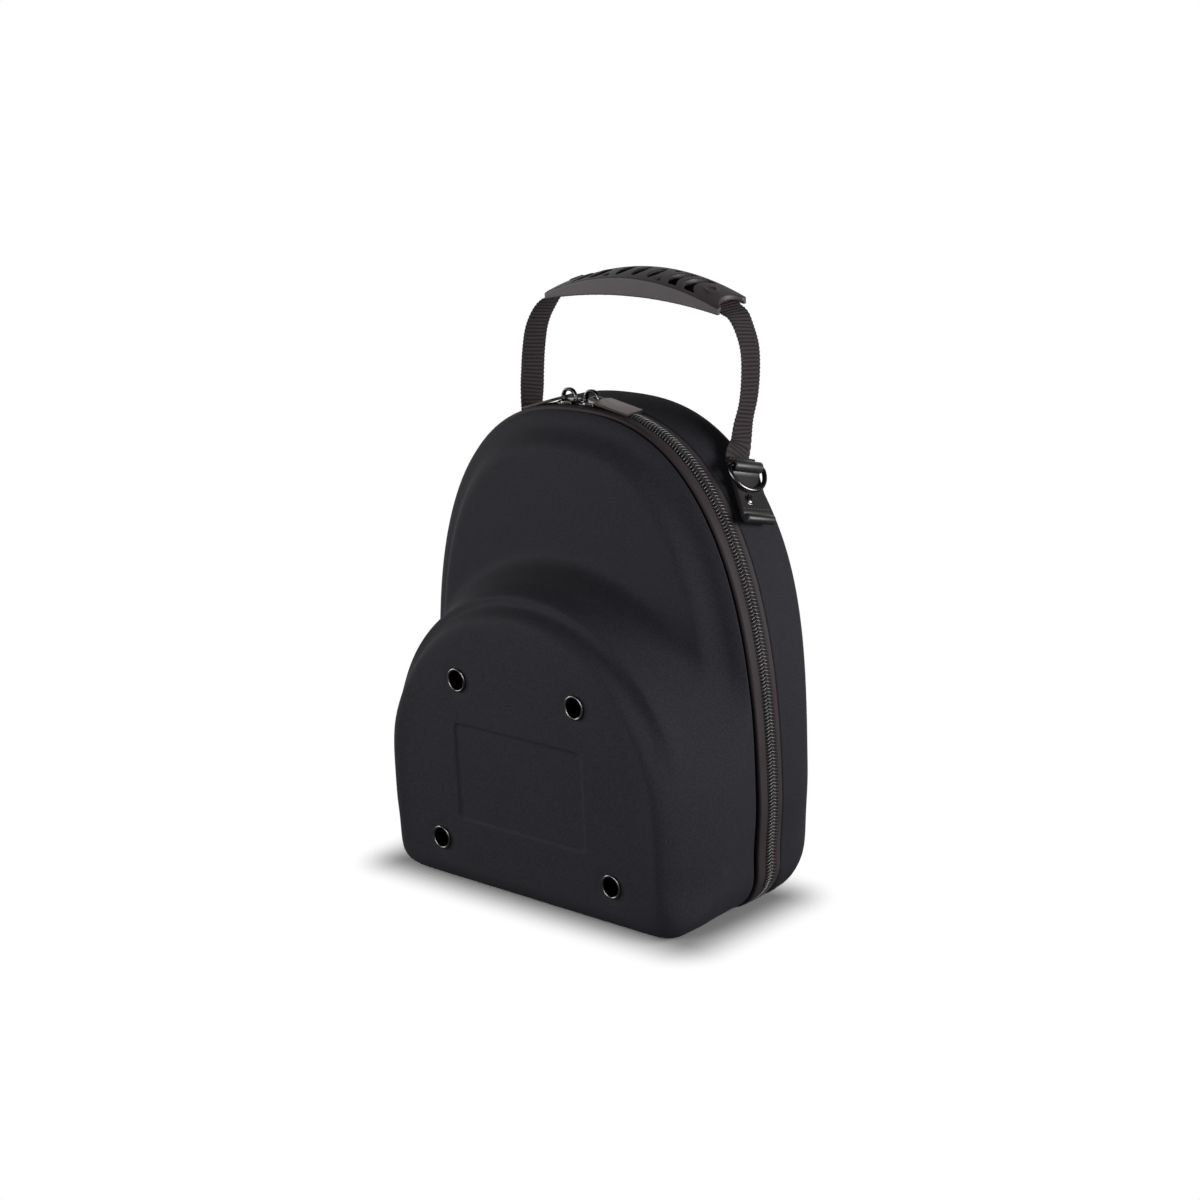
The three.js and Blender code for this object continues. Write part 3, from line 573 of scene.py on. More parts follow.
def back_lines(inset):
    """Lines of the back shell's skin from its edge to the middle of its face."""
    x, z, nx, nz = rim.T
    brink = outline_stations({
        **RIM, "height": RIM["height"] + CUP["swell"] - CUP["top_round"],
        "half_width": RIM["half_width"] + CUP["swell"] - CUP["side_round"],
        "base_half": RIM["base_half"] + CUP["swell"] - CUP["side_round"],
        "corner": CUP["corner"], "floor": FLOOR_GAP + CUP["base_round"]})
    top_share = smooth((z - CUP["top_from"]) / (CUP["top_full"] - CUP["top_from"]))

    def at(t):
        side = rounded_wall(t, CUP["swell"], mix(CUP["side_round"], CUP["top_round"], top_share))
        base = rounded_wall(t, 0, CUP["base_round"])
        across, deep = (mix(b, s, SIDE_SHARE) for b, s in zip(base, side))
        push = inset * (1 - np.maximum(0, across)) - SETTLE * min(1, t / SETTLE_BACK)
        return np.stack([mix(x, brink[:, 0], across) + nx * push,
                         BACK_EDGE_Y + deep * (1 - inset / CUP["depth"]),
                         mix(z, brink[:, 1], across) + nz * push], 1)

    rings = [] if inset else edge_rows(BACK_EDGE_Y)
    rings += [at(t) for t in np.linspace(0, 1, ROWS["cup"])]
    turn = len(rings) - 1
    middle = np.array([0, BACK_EDGE_Y + CUP["depth"] - inset, CUP["face_z"]])
    rings += [mix(rings[-1], middle, t) for t in np.linspace(0, 1, ROWS["cup_face"])[1:]]
    return np.stack(rings), turn


def shell(name, lines, relief=None):
    """A closed shell: outer skin from the middle out, over the edge, and the inner skin back in."""
    outer = soften(respaced(*lines(0), **OUTER_SKIN), *SOFTNESS["outer"])
    row = np.arange(len(outer))
    ease = smooth((row - EASED["from_row"]) / EASED["grow"])
    ease *= 1 - smooth((row - EASED["to_row"]) / EASED["fade"])
    low = 1 - smooth((rim[:, 1] - EASED["below_z"]) / EASED["fade_z"])
    outer = mix(outer, soften(outer, *SOFTNESS["low"]), (ease[:, None] * low)[..., None])
    inner = soften(respaced(*lines(WALL), **INNER_SKIN), *SOFTNESS["inner"])
    if relief is not None:
        outer[:, :, 1] += relief(outer)
    rings = np.concatenate([outer[:-1][::-1], inner[1:-1]])
    rows, columns = rings.shape[:2]
    points = np.concatenate([rings.reshape(-1, 3), outer[-1, :1], inner[-1, :1]])
    faces = grid_faces(rows, columns)
    first = rows * columns
    last = (rows - 1) * columns
    for c in range(columns):
        d = (c + 1) % columns
        faces.append((d, c, first))
        faces.append((last + c, last + d, first + 1))
    return outward(mesh_object(name, points, faces, CLOTH_CREASE))


def crown_relief(points):
    """Cloth drawn in round the eyelets, and the step over the crown, as moves along y."""
    x, y, z = points[..., 0], points[..., 1], points[..., 2]
    r = from_crown(x, z)
    above = smooth((z - STEP["from_z"]) / STEP["fade"])
    beside = (1 - above) * smooth((z - SHOULDER["from_z"]) / SHOULDER["fade"])
    step = -SHOULDER["height"] * beside * np.exp(-((r - SHOULDER["place"]) / SHOULDER["width"]) ** 2)
    for place, width, height in STEP["folds"]:
        step = step - above * height * np.exp(-((r - place) / width) ** 2)
    on_face = smooth((CROWN_FACE_Y + EYELET_DIP["behind_face"] - y) / EYELET_DIP["fade"])
    dip = 0
    for _, ex, ez in eyelet_places():
        past = np.hypot(x - ex, z - ez) - EYELET["flange"]
        dip = dip + EYELET_DIP["depth"] * (1 - smooth(past / EYELET_DIP["reach"]))
    return dip * on_face + step


def outside_panel(p):
    """Distance in millimetres from a point on the crown's face to the panel's edge, less than 0 inside."""
    qx = abs(p.x / MM - PANEL["x"]) - PANEL["half_x"] + PANEL["corner"]
    qz = abs(p.z / MM - PANEL["z"]) - PANEL["half_z"] + PANEL["corner"]
    return math.hypot(max(qx, 0), max(qz, 0)) + min(max(qx, qz), 0) - PANEL["corner"]


def press_panel(obj):
    """Presses the plain panel into the crown's face, on a finer mesh at its edge."""
    work = bmesh.new()
    work.from_mesh(obj.data)
    front = (CROWN_FACE_Y + PANEL["behind_face"] + SHIFT_Y) * MM
    edges = []
    for edge in work.edges:
        middle = (edge.verts[0].co + edge.verts[1].co) / 2
        if middle.y < front and abs(outside_panel(middle)) < PANEL["fine_within"] * PANEL["shoulder"]:
            edges.append(edge)
    bmesh.ops.subdivide_edges(work, edges=edges, cuts=PANEL["cuts"], use_grid_fill=True)
    for v in work.verts:
        if v.co.y < front:
            v.co.y += PANEL["depth"] * MM * float(smooth(-outside_panel(v.co) / PANEL["shoulder"]))
    work.to_mesh(obj.data)
    work.free()


def drill_eyelets(obj):
    """Cuts the four holes for the eyelets."""
    drills = []
    for _, ex, ez in eyelet_places():
        hole = circle(ex, ez, EYELET["hole"], DRILL["sides"])
        rings = [np.insert(hole, 1, y, axis=1)
                 for y in (CROWN_FACE_Y - DRILL["ahead"], CROWN_FACE_Y + DRILL["behind"])]
        drills.append(swept("eyelet_drill", np.stack(rings), closed=False))
    return pierced(obj, drills, obj.name, CLOTH_CREASE)


# Bands
def band(name, profile, first=0, last=None):
    """A band along the rim from a profile of (sunk, y), closed, or open between two stations."""
    closed = last is None
    stations = rim if closed else rim[first:last]
    profile = np.asarray(profile, float)
    sections = np.empty((len(stations), len(profile), 3))
    sections[..., 0] = stations[:, None, 0] + stations[:, None, 2] * profile[:, 0]
    sections[..., 1] = profile[:, 1]
    sections[..., 2] = stations[:, None, 1] + stations[:, None, 3] * profile[:, 0]
    obj = swept(name, sections, closed)
    strip_uv(obj, run(stations[:, :2]), run(profile))
    return obj


def rolled_profile(front, back, proud, lip, lip_reach, foot, fullness, steps):
    """Profile of a folded band: a soft round over the outside, and a flat lip inside the front shell."""
    a = np.linspace(math.pi, 0, 2 * steps + 1)
    y = mix(front, back, (1 + filled(np.cos(a), fullness)) / 2)
    top = foot - (proud + foot) * np.sin(a) ** fullness
    inside = [(lip[1], back), (lip[1], front - lip_reach), (lip[0], front - lip_reach), (lip[0], front)]
    return [*inside, *zip(top, y)]


# Nodes
def put(tree, kind, inputs=(), **settings):
    """A new node with its settings, and with its inputs set or linked by name or number."""
    node = tree.nodes.new(kind)
    for key, value in settings.items():
        setattr(node, key, value)
    for key, value in dict(inputs).items():
        if isinstance(value, bpy.types.NodeSocket):
            tree.links.new(value, node.inputs[key])
        else:
            node.inputs[key].default_value = value
    return node


def math_node(tree, operation, *values):
    return put(tree, "ShaderNodeMath", enumerate(values), operation=operation).outputs[0]


def new_group(name, kind, inputs, outputs):
    """An empty node group with named sockets, and the node that gives its inputs."""
    tree = bpy.data.node_groups.new(name, kind)
    for way, sockets in (("INPUT", inputs), ("OUTPUT", outputs)):
        for label, sort in sockets.items():
            tree.interface.new_socket(label, in_out=way, socket_type=f"NodeSocket{sort}")
    return tree, tree.nodes.new("NodeGroupInput").outputs


# Repeats along a line
def repeat_tree():
    """Nodes that set a shape at even steps along a line, its top turned to the line's outside."""
    tree, given = new_group("repeat_along_line", "GeometryNodeTree",
                            {"Line": "Geometry", "Shape": "Object", "Pitch": "Float", "Finish": "Material"},
                            {"Row": "Geometry"})
    curve = put(tree, "GeometryNodeMeshToCurve", {"Mesh": given["Line"]})
    even = put(tree, "GeometryNodeResampleCurve",
               {"Curve": curve.outputs["Curve"], "Length": given["Pitch"]}, mode="LENGTH")
    tangent = put(tree, "GeometryNodeInputTangent")
    outside = put(tree, "GeometryNodeInputNamedAttribute", {"Name": "outside"}, data_type="FLOAT_VECTOR")
    forward = put(tree, "FunctionNodeAlignRotationToVector", {"Vector": tangent.outputs["Tangent"]},
                  axis="X")
    upward = put(tree, "FunctionNodeAlignRotationToVector",
                 {"Rotation": forward.outputs["Rotation"], "Vector": outside.outputs["Attribute"]},
                 axis="Z", pivot_axis="X")
    shape = put(tree, "GeometryNodeObjectInfo", {"Object": given["Shape"]})
    placed = put(tree, "GeometryNodeInstanceOnPoints",
                 {"Points": even.outputs["Curve"], "Instance": shape.outputs["Geometry"],
                  "Rotation": upward.outputs["Rotation"]})
    real = put(tree, "GeometryNodeRealizeInstances", {"Geometry": placed.outputs["Instances"]})
    finish = put(tree, "GeometryNodeSetMaterial",
                 {"Geometry": real.outputs["Geometry"], "Material": given["Finish"]})
    put(tree, "NodeGroupOutput", {"Row": finish.outputs["Geometry"]})
    return tree


REPEAT = repeat_tree()


def row_of(name, shape, line, outside, pitch, material):
    """One mesh of a shape repeated along a line of points in millimetres."""
    mesh = bpy.data.meshes.new(name)
    mesh.from_pydata(metres(line).tolist(), [(i, i + 1) for i in range(len(line) - 1)], [])
    attribute = mesh.attributes.new("outside", "FLOAT_VECTOR", "POINT")
    attribute.data.foreach_set("vector", np.asarray(outside, float).ravel())
    host = bpy.data.objects.new(name, mesh)
    bpy.context.scene.collection.objects.link(host)
    modifier = host.modifiers.new("repeat", "NODES")
    modifier.node_group = REPEAT
    sockets = {s.name: s.identifier for s in REPEAT.interface.items_tree if s.in_out == "INPUT"}
    modifier[sockets["Shape"]] = shape
    modifier[sockets["Pitch"]] = pitch * MM
    modifier[sockets["Finish"]] = material
    return applied(host, name, CLOTH_CREASE)


def wire_shape(name, tubes):
    """A small shape of closed wires at the origin, to be repeated along a line."""
    points = []
    faces = []
    for sections in tubes:
        start = sum(len(p) for p in points)
        points.append(sections.reshape(-1, 3))
        faces += [tuple(start + i for i in f) for f in tube_faces(*sections.shape[:2], False)]
    mesh = bpy.data.meshes.new(name)
    mesh.from_pydata((np.concatenate(points) * MM).tolist(), [], faces)
    return outward(linked(name, mesh, CLOTH_CREASE))


def coil_shape():
    """One pitch of the coil: a loop from each side, slanting to the middle and half a pitch apart."""
    start, span, fullness = COIL["arch"]
    t = np.linspace(0, 1, len(COIL["swell"]))
    z = COIL["height"] * np.sin(np.pi * np.clip(start + span * t, 0, 1)) ** fullness - COIL["sink"]
    radius = COIL["wire"] * np.array(COIL["swell"])
    loops = []
    for side in SIDES.values():
        y = side * mix(COIL["half"], -COIL["overlap"], t)
        x = mix(-COIL["slant"], COIL["slant"], t) / 2 + (0 if side < 0 else COIL["pitch"] / 2)
        loops.append(tube(np.stack([x, y, z], 1), radius))
    return wire_shape("coil_loop", loops)


# Materials
THREAD_ROUND = 0.6
GRAIN_ON_THREADS = 0.35
GRAIN_DETAIL = {"Fine": 3.0, "Broad": 2.0}


def weave_group():
    """Height of the threads of a plain weave, from the piece's own UV map."""
    tree, given = new_group("plain_weave", "ShaderNodeTree",
                            {"Threads U": "Float", "Threads V": "Float"}, {"Height": "Float"})
    uv = put(tree, "ShaderNodeUVMap", uv_map="weave")
    split = put(tree, "ShaderNodeSeparateXYZ", {0: uv.outputs["UV"]})
    waves = []
    for axis, threads in (("X", "Threads U"), ("Y", "Threads V")):
        scaled = math_node(tree, "MULTIPLY", split.outputs[axis], given[threads])
        waves.append(math_node(tree, "SINE", math_node(tree, "MULTIPLY", scaled, math.pi)))
    over = math_node(tree, "GREATER_THAN", math_node(tree, "MULTIPLY", *waves), 0.0)
    under = math_node(tree, "SUBTRACT", 1.0, over)
    warp, weft = (math_node(tree, "MULTIPLY", math_node(tree, "ABSOLUTE", wave), share)
                  for wave, share in zip(waves, (over, under)))
    height = math_node(tree, "POWER", math_node(tree, "ADD", warp, weft), THREAD_ROUND)
    put(tree, "NodeGroupOutput", {"Height": height})
    return tree


def grain_group():
    """Fine and broad mottling on Object coordinates, both from 0 to 1."""
    tree, given = new_group("grain", "ShaderNodeTree", {"Fine Scale": "Float", "Broad Scale": "Float"},
                            {"Fine": "Float", "Broad": "Float"})
    where = put(tree, "ShaderNodeTexCoord").outputs["Object"]
    mottle = {}
    for size, detail in GRAIN_DETAIL.items():
        noise = put(tree, "ShaderNodeTexNoise",
                    {"Detail": detail, "Vector": where, "Scale": given[f"{size} Scale"]})
        mottle[size] = noise.outputs["Fac"]
    put(tree, "NodeGroupOutput", mottle)
    return tree


WEAVE = weave_group()
GRAIN = grain_group()


def blended(tree, a, b, share):
    """A value with a share of b in it and the rest from a."""
    return math_node(tree, "ADD", math_node(tree, "MULTIPLY", a, 1 - share),
                     math_node(tree, "MULTIPLY", b, share))


def finish_of(name, dark, light, roughness, grain, weave=None, bump=0.2, bump_mm=0.1, spread=(0.25, 0.8),
              broad=0.55, thread_shade_share=0.3, **sockets):
    """A material whose colour and roughness follow its grain, with threads or grain as relief. With threads,
    the colour also darkens between them as painted shade.
    """
    material = bpy.data.materials.new(name)
    material.use_nodes = True
    tree = material.node_tree
    shader = tree.nodes["Principled BSDF"].inputs
    for socket, value in sockets.items():
        shader[socket.replace("_", " ")].default_value = value
    mottle = put(tree, "ShaderNodeGroup", {"Fine Scale": grain[0], "Broad Scale": grain[1]},
                 node_tree=GRAIN).outputs
    tone = blended(tree, mottle["Fine"], mottle["Broad"], broad)
    height = mottle["Fine"]
    if weave:
        threads = put(tree, "ShaderNodeGroup", {"Threads U": weave[0], "Threads V": weave[1]},
                      node_tree=WEAVE).outputs["Height"]
        fine = math_node(tree, "MULTIPLY", mottle["Fine"], GRAIN_ON_THREADS)
        height = math_node(tree, "ADD", threads, fine)
        # Colour darkens where the threads dip: painted shade between the threads
        tone = blended(tree, tone, threads, thread_shade_share)
    ramp = put(tree, "ShaderNodeValToRGB", {"Fac": tone})
    for stop, place, colour in zip(ramp.color_ramp.elements, spread, (dark, light)):
        stop.position = place
        stop.color = (*colour, 1)
    rough = put(tree, "ShaderNodeMapRange",
                {"Value": tone, "To Min": roughness[0], "To Max": roughness[1]})
    relief = put(tree, "ShaderNodeBump", {"Strength": bump, "Distance": bump_mm * MM, "Height": height})
    tree.links.new(ramp.outputs["Color"], shader["Base Color"])
    tree.links.new(rough.outputs["Result"], shader["Roughness"])
    tree.links.new(relief.outputs["Normal"], shader["Normal"])
    return material


SHELL_CLOTH = finish_of("shell_cloth", (0.0032, 0.0031, 0.0046), (0.0185, 0.0175, 0.0228), (0.7, 0.9),
                        (1150, 18), weave=(16, 16), bump=0.4, bump_mm=0.14, spread=(0.38, 0.8), broad=0.1,
                        Specular_IOR_Level=0.16)
BINDING_TAPE = finish_of("binding_tape", (0.007, 0.0052, 0.0056), (0.0245, 0.0182, 0.0198), (0.58, 0.74),
                         (800, 30), weave=(14, 14), bump=0.25, Specular_IOR_Level=0.16)
ZIP_TAPE = finish_of("zip_tape", (0.0075, 0.0056, 0.006), (0.028, 0.0208, 0.0226), (0.6, 0.78),
                     (700, 40), weave=(10, 16), bump=0.45, bump_mm=0.15, Specular_IOR_Level=0.2)
COIL_NYLON = finish_of("coil_nylon", (0.008, 0.0072, 0.0072), (0.031, 0.0285, 0.0285), (0.3, 0.42),
                       (500, 60), bump=0.1, Specular_IOR_Level=0.5)
# The webbing's colour darkens strongly between its ribs and threads as painted shade
WEBBING_YARN = finish_of("webbing_yarn", (0.001, 0.0008, 0.0008), (0.0235, 0.0171, 0.0188), (0.55, 0.75),
                         (800, 25), weave=(MM_PER_CM / WEBBING["rib"], 22), bump=0.6, bump_mm=0.2,
                         spread=(0.36, 0.86), thread_shade_share=0.75, Specular_IOR_Level=0.2)
GRIP_RUBBER = finish_of("grip_rubber", (0.021, 0.0164, 0.019), (0.046, 0.0362, 0.042), (0.46, 0.62),
                        (1100, 45), bump=0.18, bump_mm=0.06, Specular_IOR_Level=0.32)
TAB_HIDE = finish_of("tab_hide", (0.004, 0.0034, 0.0035), (0.014, 0.0121, 0.0123), (0.38, 0.52),
                     (650, 50), bump=0.35, bump_mm=0.08, Specular_IOR_Level=0.3, Coat_Weight=0.08,
                     Coat_Roughness=0.3)
DARK_NICKEL = finish_of("dark_nickel", (0.05, 0.048, 0.05), (0.105, 0.1, 0.102), (0.18, 0.3),
                        (400, 60), bump=0.05, bump_mm=0.03, Metallic=1.0)
PULL_SATIN = finish_of("pull_satin", (0.185, 0.158, 0.148), (0.28, 0.243, 0.228), (0.42, 0.52),
                       (900, 80), bump=0.08, bump_mm=0.03, Metallic=0.85)
# A much darker copy of the pull's satin for its edge faces: painted shade that keeps the edges from showing
# bright reflections
PULL_EDGE_SHADE = finish_of("pull_edge", (0.02, 0.017, 0.017), (0.042, 0.037, 0.036), (0.5, 0.62),
                      (900, 80), bump=0.08, bump_mm=0.03, Metallic=0.85)
EYELET_METAL = finish_of("eyelet_metal", (0.085, 0.078, 0.074), (0.16, 0.15, 0.143), (0.22, 0.36),
                         (500, 70), bump=0.06, bump_mm=0.03, Metallic=1.0)
STITCH_THREAD = finish_of("stitch_thread", (0.018, 0.016, 0.016), (0.045, 0.041, 0.04), (0.5, 0.65),
                          (1500, 100), bump=0.2)


def fitted(obj, material, node=None, body=CASE):
    """Gives a finished mesh its material and its place in the frame."""
    obj.data.materials.clear()
    obj.data.materials.append(material)
    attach(obj, body)
    if node:
        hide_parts(node)
    return obj


# Case
def build_shells():
    front = shell("front_cloth", front_lines, crown_relief)
    press_panel(front)
    front = drill_eyelets(front)
    back = shell("back_cloth", back_lines)
    for obj, node in ((front, "front_shell"), (back, "back_shell")):
        box_uv(obj)
        fitted(obj, SHELL_CLOTH, node)


def build_bands():
    fitted(band("binding_roll", rolled_profile(**BINDING)), BINDING_TAPE, "edge_binding")
    low = TAPE["sunk"] + TAPE["thick"]
    spans = {"front": (TAPE["front"], -TAPE["middle"]), "back": (TAPE["middle"], TAPE["back"])}
    for name, (start, stop) in spans.items():
        y = np.linspace(start, stop, TAPE["steps"])
        sunk = TAPE["sunk"] - TAPE["rise"] * smooth((y - COIL["half"] + FIT) / TAPE["rise_fade"])
        tape = band(f"tape_{name}", [(low, start), *zip(sunk, y), (low, stop)], *ZIP_SPAN)
        fitted(tape, ZIP_TAPE, f"zip_tape_{name}")


def build_coil():
    span = rim[slice(*ZIP_SPAN)]
    level = np.zeros(len(span))
    line = np.stack([span[:, 0], level, span[:, 1]], 1)
    outside = np.stack([-span[:, 2], level, -span[:, 3]], 1)
    loop = coil_shape()
    coil = row_of("coil_rows", loop, line, outside, COIL["pitch"], COIL_NYLON)
    bpy.data.objects.remove(loop)
    fitted(coil, COIL_NYLON, "zip_chain")


def build_hinge():
    """Cloth strip under the base, bulging a little between the two ends of the zip."""
    top = FLOOR_GAP + TAPE["sunk"] + TAPE["thick"]
    y = np.linspace(TAPE["front"], TAPE["back"], HINGE["steps"])
    bulge = HINGE["bulge"] * np.sin(np.linspace(0, math.pi, HINGE["steps"]))
    profile = [*zip(y, FLOOR_GAP + HINGE["lift"] - bulge), (TAPE["back"], top), (TAPE["front"], top)]
    x = np.linspace(-HINGE["half"] + FIT, HINGE["half"] - FIT, HINGE["columns"])
    strip = swept("hinge_cloth", np.array([[(px, v, z) for v, z in profile] for px in x]), closed=False)
    box_uv(strip)
    fitted(strip, ZIP_TAPE, "hinge_strip")


def build_eyelets():
    bore, barrel, flange, proud, seat = (EYELET[k] for k in ("bore", "barrel", "flange", "proud", "seat"))
    a = np.linspace(0, math.pi, EYELET["roll_steps"])
    rolled = np.stack([(flange + bore) / 2 + (flange - bore) / 2 * np.cos(a),
                       (proud - seat) * np.sin(a) + seat], 1)
    depth = -WALL - FIT
    inside = [(bore, depth + seat), (bore + seat, depth), (barrel, depth), (barrel, seat)]
    facing_front = turned(np.concatenate([rolled, inside]), EYELET["sides"])[..., [0, 2, 1]]
    facing_front[..., 1] *= -1
    for name, ex, ez in eyelet_places():
        sections = facing_front + np.array([ex, CROWN_FACE_Y, ez])
        ring = swept(f"eyelet_ring_{name}", sections, closed=True, crease=PLATE_CREASE)
        fitted(ring, EYELET_METAL, f"eyelet_{name}")


# Sliders and pulls
def slider_seat(x):
    z, slope = arch_over(x)
    return Matrix.Translation((x, 0, z + SLIDER["seat"])) @ Matrix.Rotation(-math.atan(slope), 4, "Y")


def slider_bridge(name):
    """The bridge that the pull hangs on: a flat bar bent over the top plate."""
    foot = SLIDER["plate"] - BRIDGE["foot"]
    a = np.linspace(0, math.pi, BRIDGE["steps"])
    line = np.stack([BRIDGE["half"] * filled(np.cos(a), BRIDGE["fullness"][0]),
                     foot + (BRIDGE["top"] - foot) * np.sin(a) ** BRIDGE["fullness"][1]], 1)
    along = unit(np.gradient(line, axis=0))
    normal = np.stack([along[:, 1], -along[:, 0]], 1)
    bar = [(c * BRIDGE["thick"] / 2, s * BRIDGE["width"] / 2)
           for c, s in rounded_box(-1, -1, 1, 1, BRIDGE["corner"])]
    sections = np.array([[(x + n[0] * t, w, z + n[1] * t) for t, w in bar]
                         for (x, z), n in zip(line, normal)])
    return swept(name, unplaced(sections), closed=False)


def slider_mesh(name):
    """A cast slider: top plate, side walls over the coil, and the bridge."""
    half, thick, drop, flange = (SLIDER[k] for k in ("half", "plate", "drop", "flange"))
    reach = SLIDER["length"] / 2
    waist = -reach * SLIDER["waist"]
    nose = half - SLIDER["nose"]
    outline = rounded_outline([(-reach, -nose), (waist, -half), (reach, -half), (reach, half),
                               (waist, half), (-reach, nose)], SLIDER["corner"])
    body = plate(name, [outline], thick, SLIDER["bevel"])
    body.data.transform(Matrix.Translation((0, 0, thick / 2)))
    parts = [body]
    wall = rounded_box(-reach + SLIDER["wall_back"], -flange / 2, reach - SLIDER["wall_front"], flange / 2,
                       SLIDER["wall_corner"])
    for sign in SIDES.values():
        side = plate(name, [wall], drop + SLIDER["wall_top"], SLIDER["wall_bevel"])
        place = (0, sign * (half - flange / 2), (SLIDER["wall_top"] - drop) / 2)
        side.data.transform(Matrix.Translation(place))
        parts.append(side)
    parts.append(slider_bridge(name))
    return fused(parts, name, SLIDER["voxel"], SLIDER["rounds"])


def pull_mesh(name):
    bar, eye, eye_end, arm, half, length = (
        PULL[k] for k in ("bar", "eye", "eye_end", "arm", "half", "length"))
    wide = eye_end + PULL["shoulder"]
    outer = rounded_outline([(-bar, -arm), (eye_end, -arm), (wide, -half), (length, -half),
                             (length, half), (wide, half), (eye_end, arm), (-bar, arm)], PULL["corner"])
    hole = rounded_box(bar, -eye, eye_end, eye, PULL["eye_corner"])
    return plate(name, [outer, hole], PULL["thick"], PULL["bevel"])


def build_sliders():
    for side, (x, turn, dip) in SLIDERS.items():
        seat = slider_seat(x)
        body = seated(slider_mesh(f"slider_{side}"), seat)
        fitted(body, DARK_NICKEL, f"zip_slider_{side}")
        flap = (seat @ Matrix.Translation((turn * PULL["pivot_x"], 0, SLIDER["plate"] + PULL["pivot_z"]))
                @ Matrix.Rotation(0 if turn > 0 else math.pi, 4, "Z")
                @ Matrix.Rotation(math.radians(dip), 4, "Y"))
        pull = pull_mesh(f"pull_{side}")
        shaded_edge = [abs(face.normal.z) < PULL["face_from"] for face in pull.data.polygons]
        seated(pull, flap)
        fitted(pull, PULL_SATIN, f"zip_pull_{side}", body=f"pull_{side}")
        # The pull's edge faces take the darker copy of its satin as painted shade
        pull.data.materials.append(PULL_EDGE_SHADE)
        pull.data.polygons.foreach_set("material_index", shaded_edge)


# Handle
def tab_frame():
    """Place of the right tab: x down along it, y across it, z out from the shell."""
    n = RIM["roundness"]
    share = (TAB["z"] - RIM["widest_at"]) / (RIM["height"] - RIM["widest_at"])
    x = RIM["half_width"] * (1 - share ** n) ** (1 / n)
    slope = arch_over(x)[1]
    down = Vector((1, 0, slope)).normalized()
    out = Vector((-slope, 0, 1)).normalized()
    lean = math.radians(TAB["lean"])
    along = down * math.cos(lean) + Vector((0, -math.sin(lean), 0))
    origin = Vector((x, TAB["y"], TAB["z"])) + out * CUP["swell"]
    basis = Matrix((along, out.cross(along), out)).transposed().to_4x4()
    return Matrix.Translation(origin) @ basis


def tab_places():
    """Names and places of the two tabs, the left one mirrored."""
    return [(side, Matrix.Diagonal((sign, 1, 1, 1)) @ tab_frame()) for side, sign in reversed(SIDES.items())]


def grip_crest(x):
    return GRIP["crest"] - x ** 2 / (2 * GRIP["top_radius"])


def grip_foot(x):
    return GRIP["foot"] - x ** 2 / (2 * GRIP["foot_radius"])


def through(points, count):
    """Evenly spaced points on a smooth centripetal curve through points, with tangents and lengths."""
    points = np.asarray(points, float)
    ends = [2 * points[0] - points[1], 2 * points[-1] - points[-2]]
    p = np.concatenate([ends[:1], points, ends[1:]])
    t = np.linspace(0, 1, CURVE_STEPS, endpoint=False)[:, None]
    fine = []
    for i in range(1, len(p) - 2):
        p0, p1, p2, p3 = p[i - 1:i + 3]
        d0, d1, d2 = (math.sqrt(np.linalg.norm(b - a)) for a, b in ((p0, p1), (p1, p2), (p2, p3)))
        t1 = ((p1 - p0) / d0 - (p2 - p0) / (d0 + d1) + (p2 - p1) / d1) * d1
        t2 = ((p2 - p1) / d1 - (p3 - p1) / (d1 + d2) + (p3 - p2) / d2) * d1
        fine.append(p1 + t1 * t + (-3 * p1 + 3 * p2 - 2 * t1 - t2) * t ** 2
                    + (2 * p1 - 2 * p2 + t1 + t2) * t ** 3)
    fine = np.concatenate(fine + [points[-1:]])
    length = run(fine)
    stops = np.linspace(0, length[-1], count)
    at = at_stops(fine, length, stops)
    return at, unit(np.gradient(at, axis=0)), stops


def webbing_line():
    level = WEBBING["lift"] + WEBBING["thick"] / 2
    drop = GRIP["plate"] + level
    right = [(x, GRIP["y"], grip_crest(x) - drop) for x in WEBBING_IN_GRIP]
    right += WEBBING_FREE
    right += [tuple(tab_frame() @ Vector((s, 0, level))) for s in WEBBING_UNDER_TAB]
    left = [(-x, y, z) for x, y, z in right[1:]][::-1]
    return left + right


def build_webbing():
    """Webbing with raised cross ribs and rounded edges, from tab to tab through the grip."""
    at, along, stops = through(webbing_line(), WEBBING["steps"])
    outside = smooth((np.abs(at[:, 0]) - GRIP["half"]) / WEBBING["grip_fade"])
    hanging = outside * smooth((at[:, 2] - WEBBING["toe_from"]) / WEBBING["toe_fade"])
    across = np.stack([-np.sign(at[:, 0]) * hanging * math.tan(math.radians(WEBBING["toe_in"])),
                       np.ones(len(at)), GRIP["tilt"] * (1 - outside)], 1)
    across = unit(across - along * np.sum(across * along, 1)[:, None])
    out = np.cross(along, across)
    half = WEBBING["width"] / 2
    a = full_turn(WEBBING["sides"])
    wide = filled(np.cos(a), WEBBING["fullness"])
    thick = filled(np.sin(a), WEBBING["fullness"])
    groove = (0.5 + 0.5 * np.cos(2 * math.pi * stops / WEBBING["rib"])) ** 2
    level = WEBBING["thick"] / 2 - WEBBING["rib_depth"] * groove
    edge = half - WEBBING["edge_dip"] * groove
    sections = (at[:, None] + across[:, None] * (edge[:, None] * wide)[..., None]
                + out[:, None] * (level[:, None] * thick)[..., None])
    obj = swept("webbing", sections, closed=False)
    strip_uv(obj, stops, run(np.stack([wide * half, thick], 1)))
    fitted(obj, WEBBING_YARN, "handle_webbing")


def leaf(x):
    a = full_turn(SLOT["leaf_sides"])
    return np.stack([x + SLOT["wide"] * filled(np.cos(a), SLOT["thinness"]), SLOT["half"] * np.sin(a)], 1)


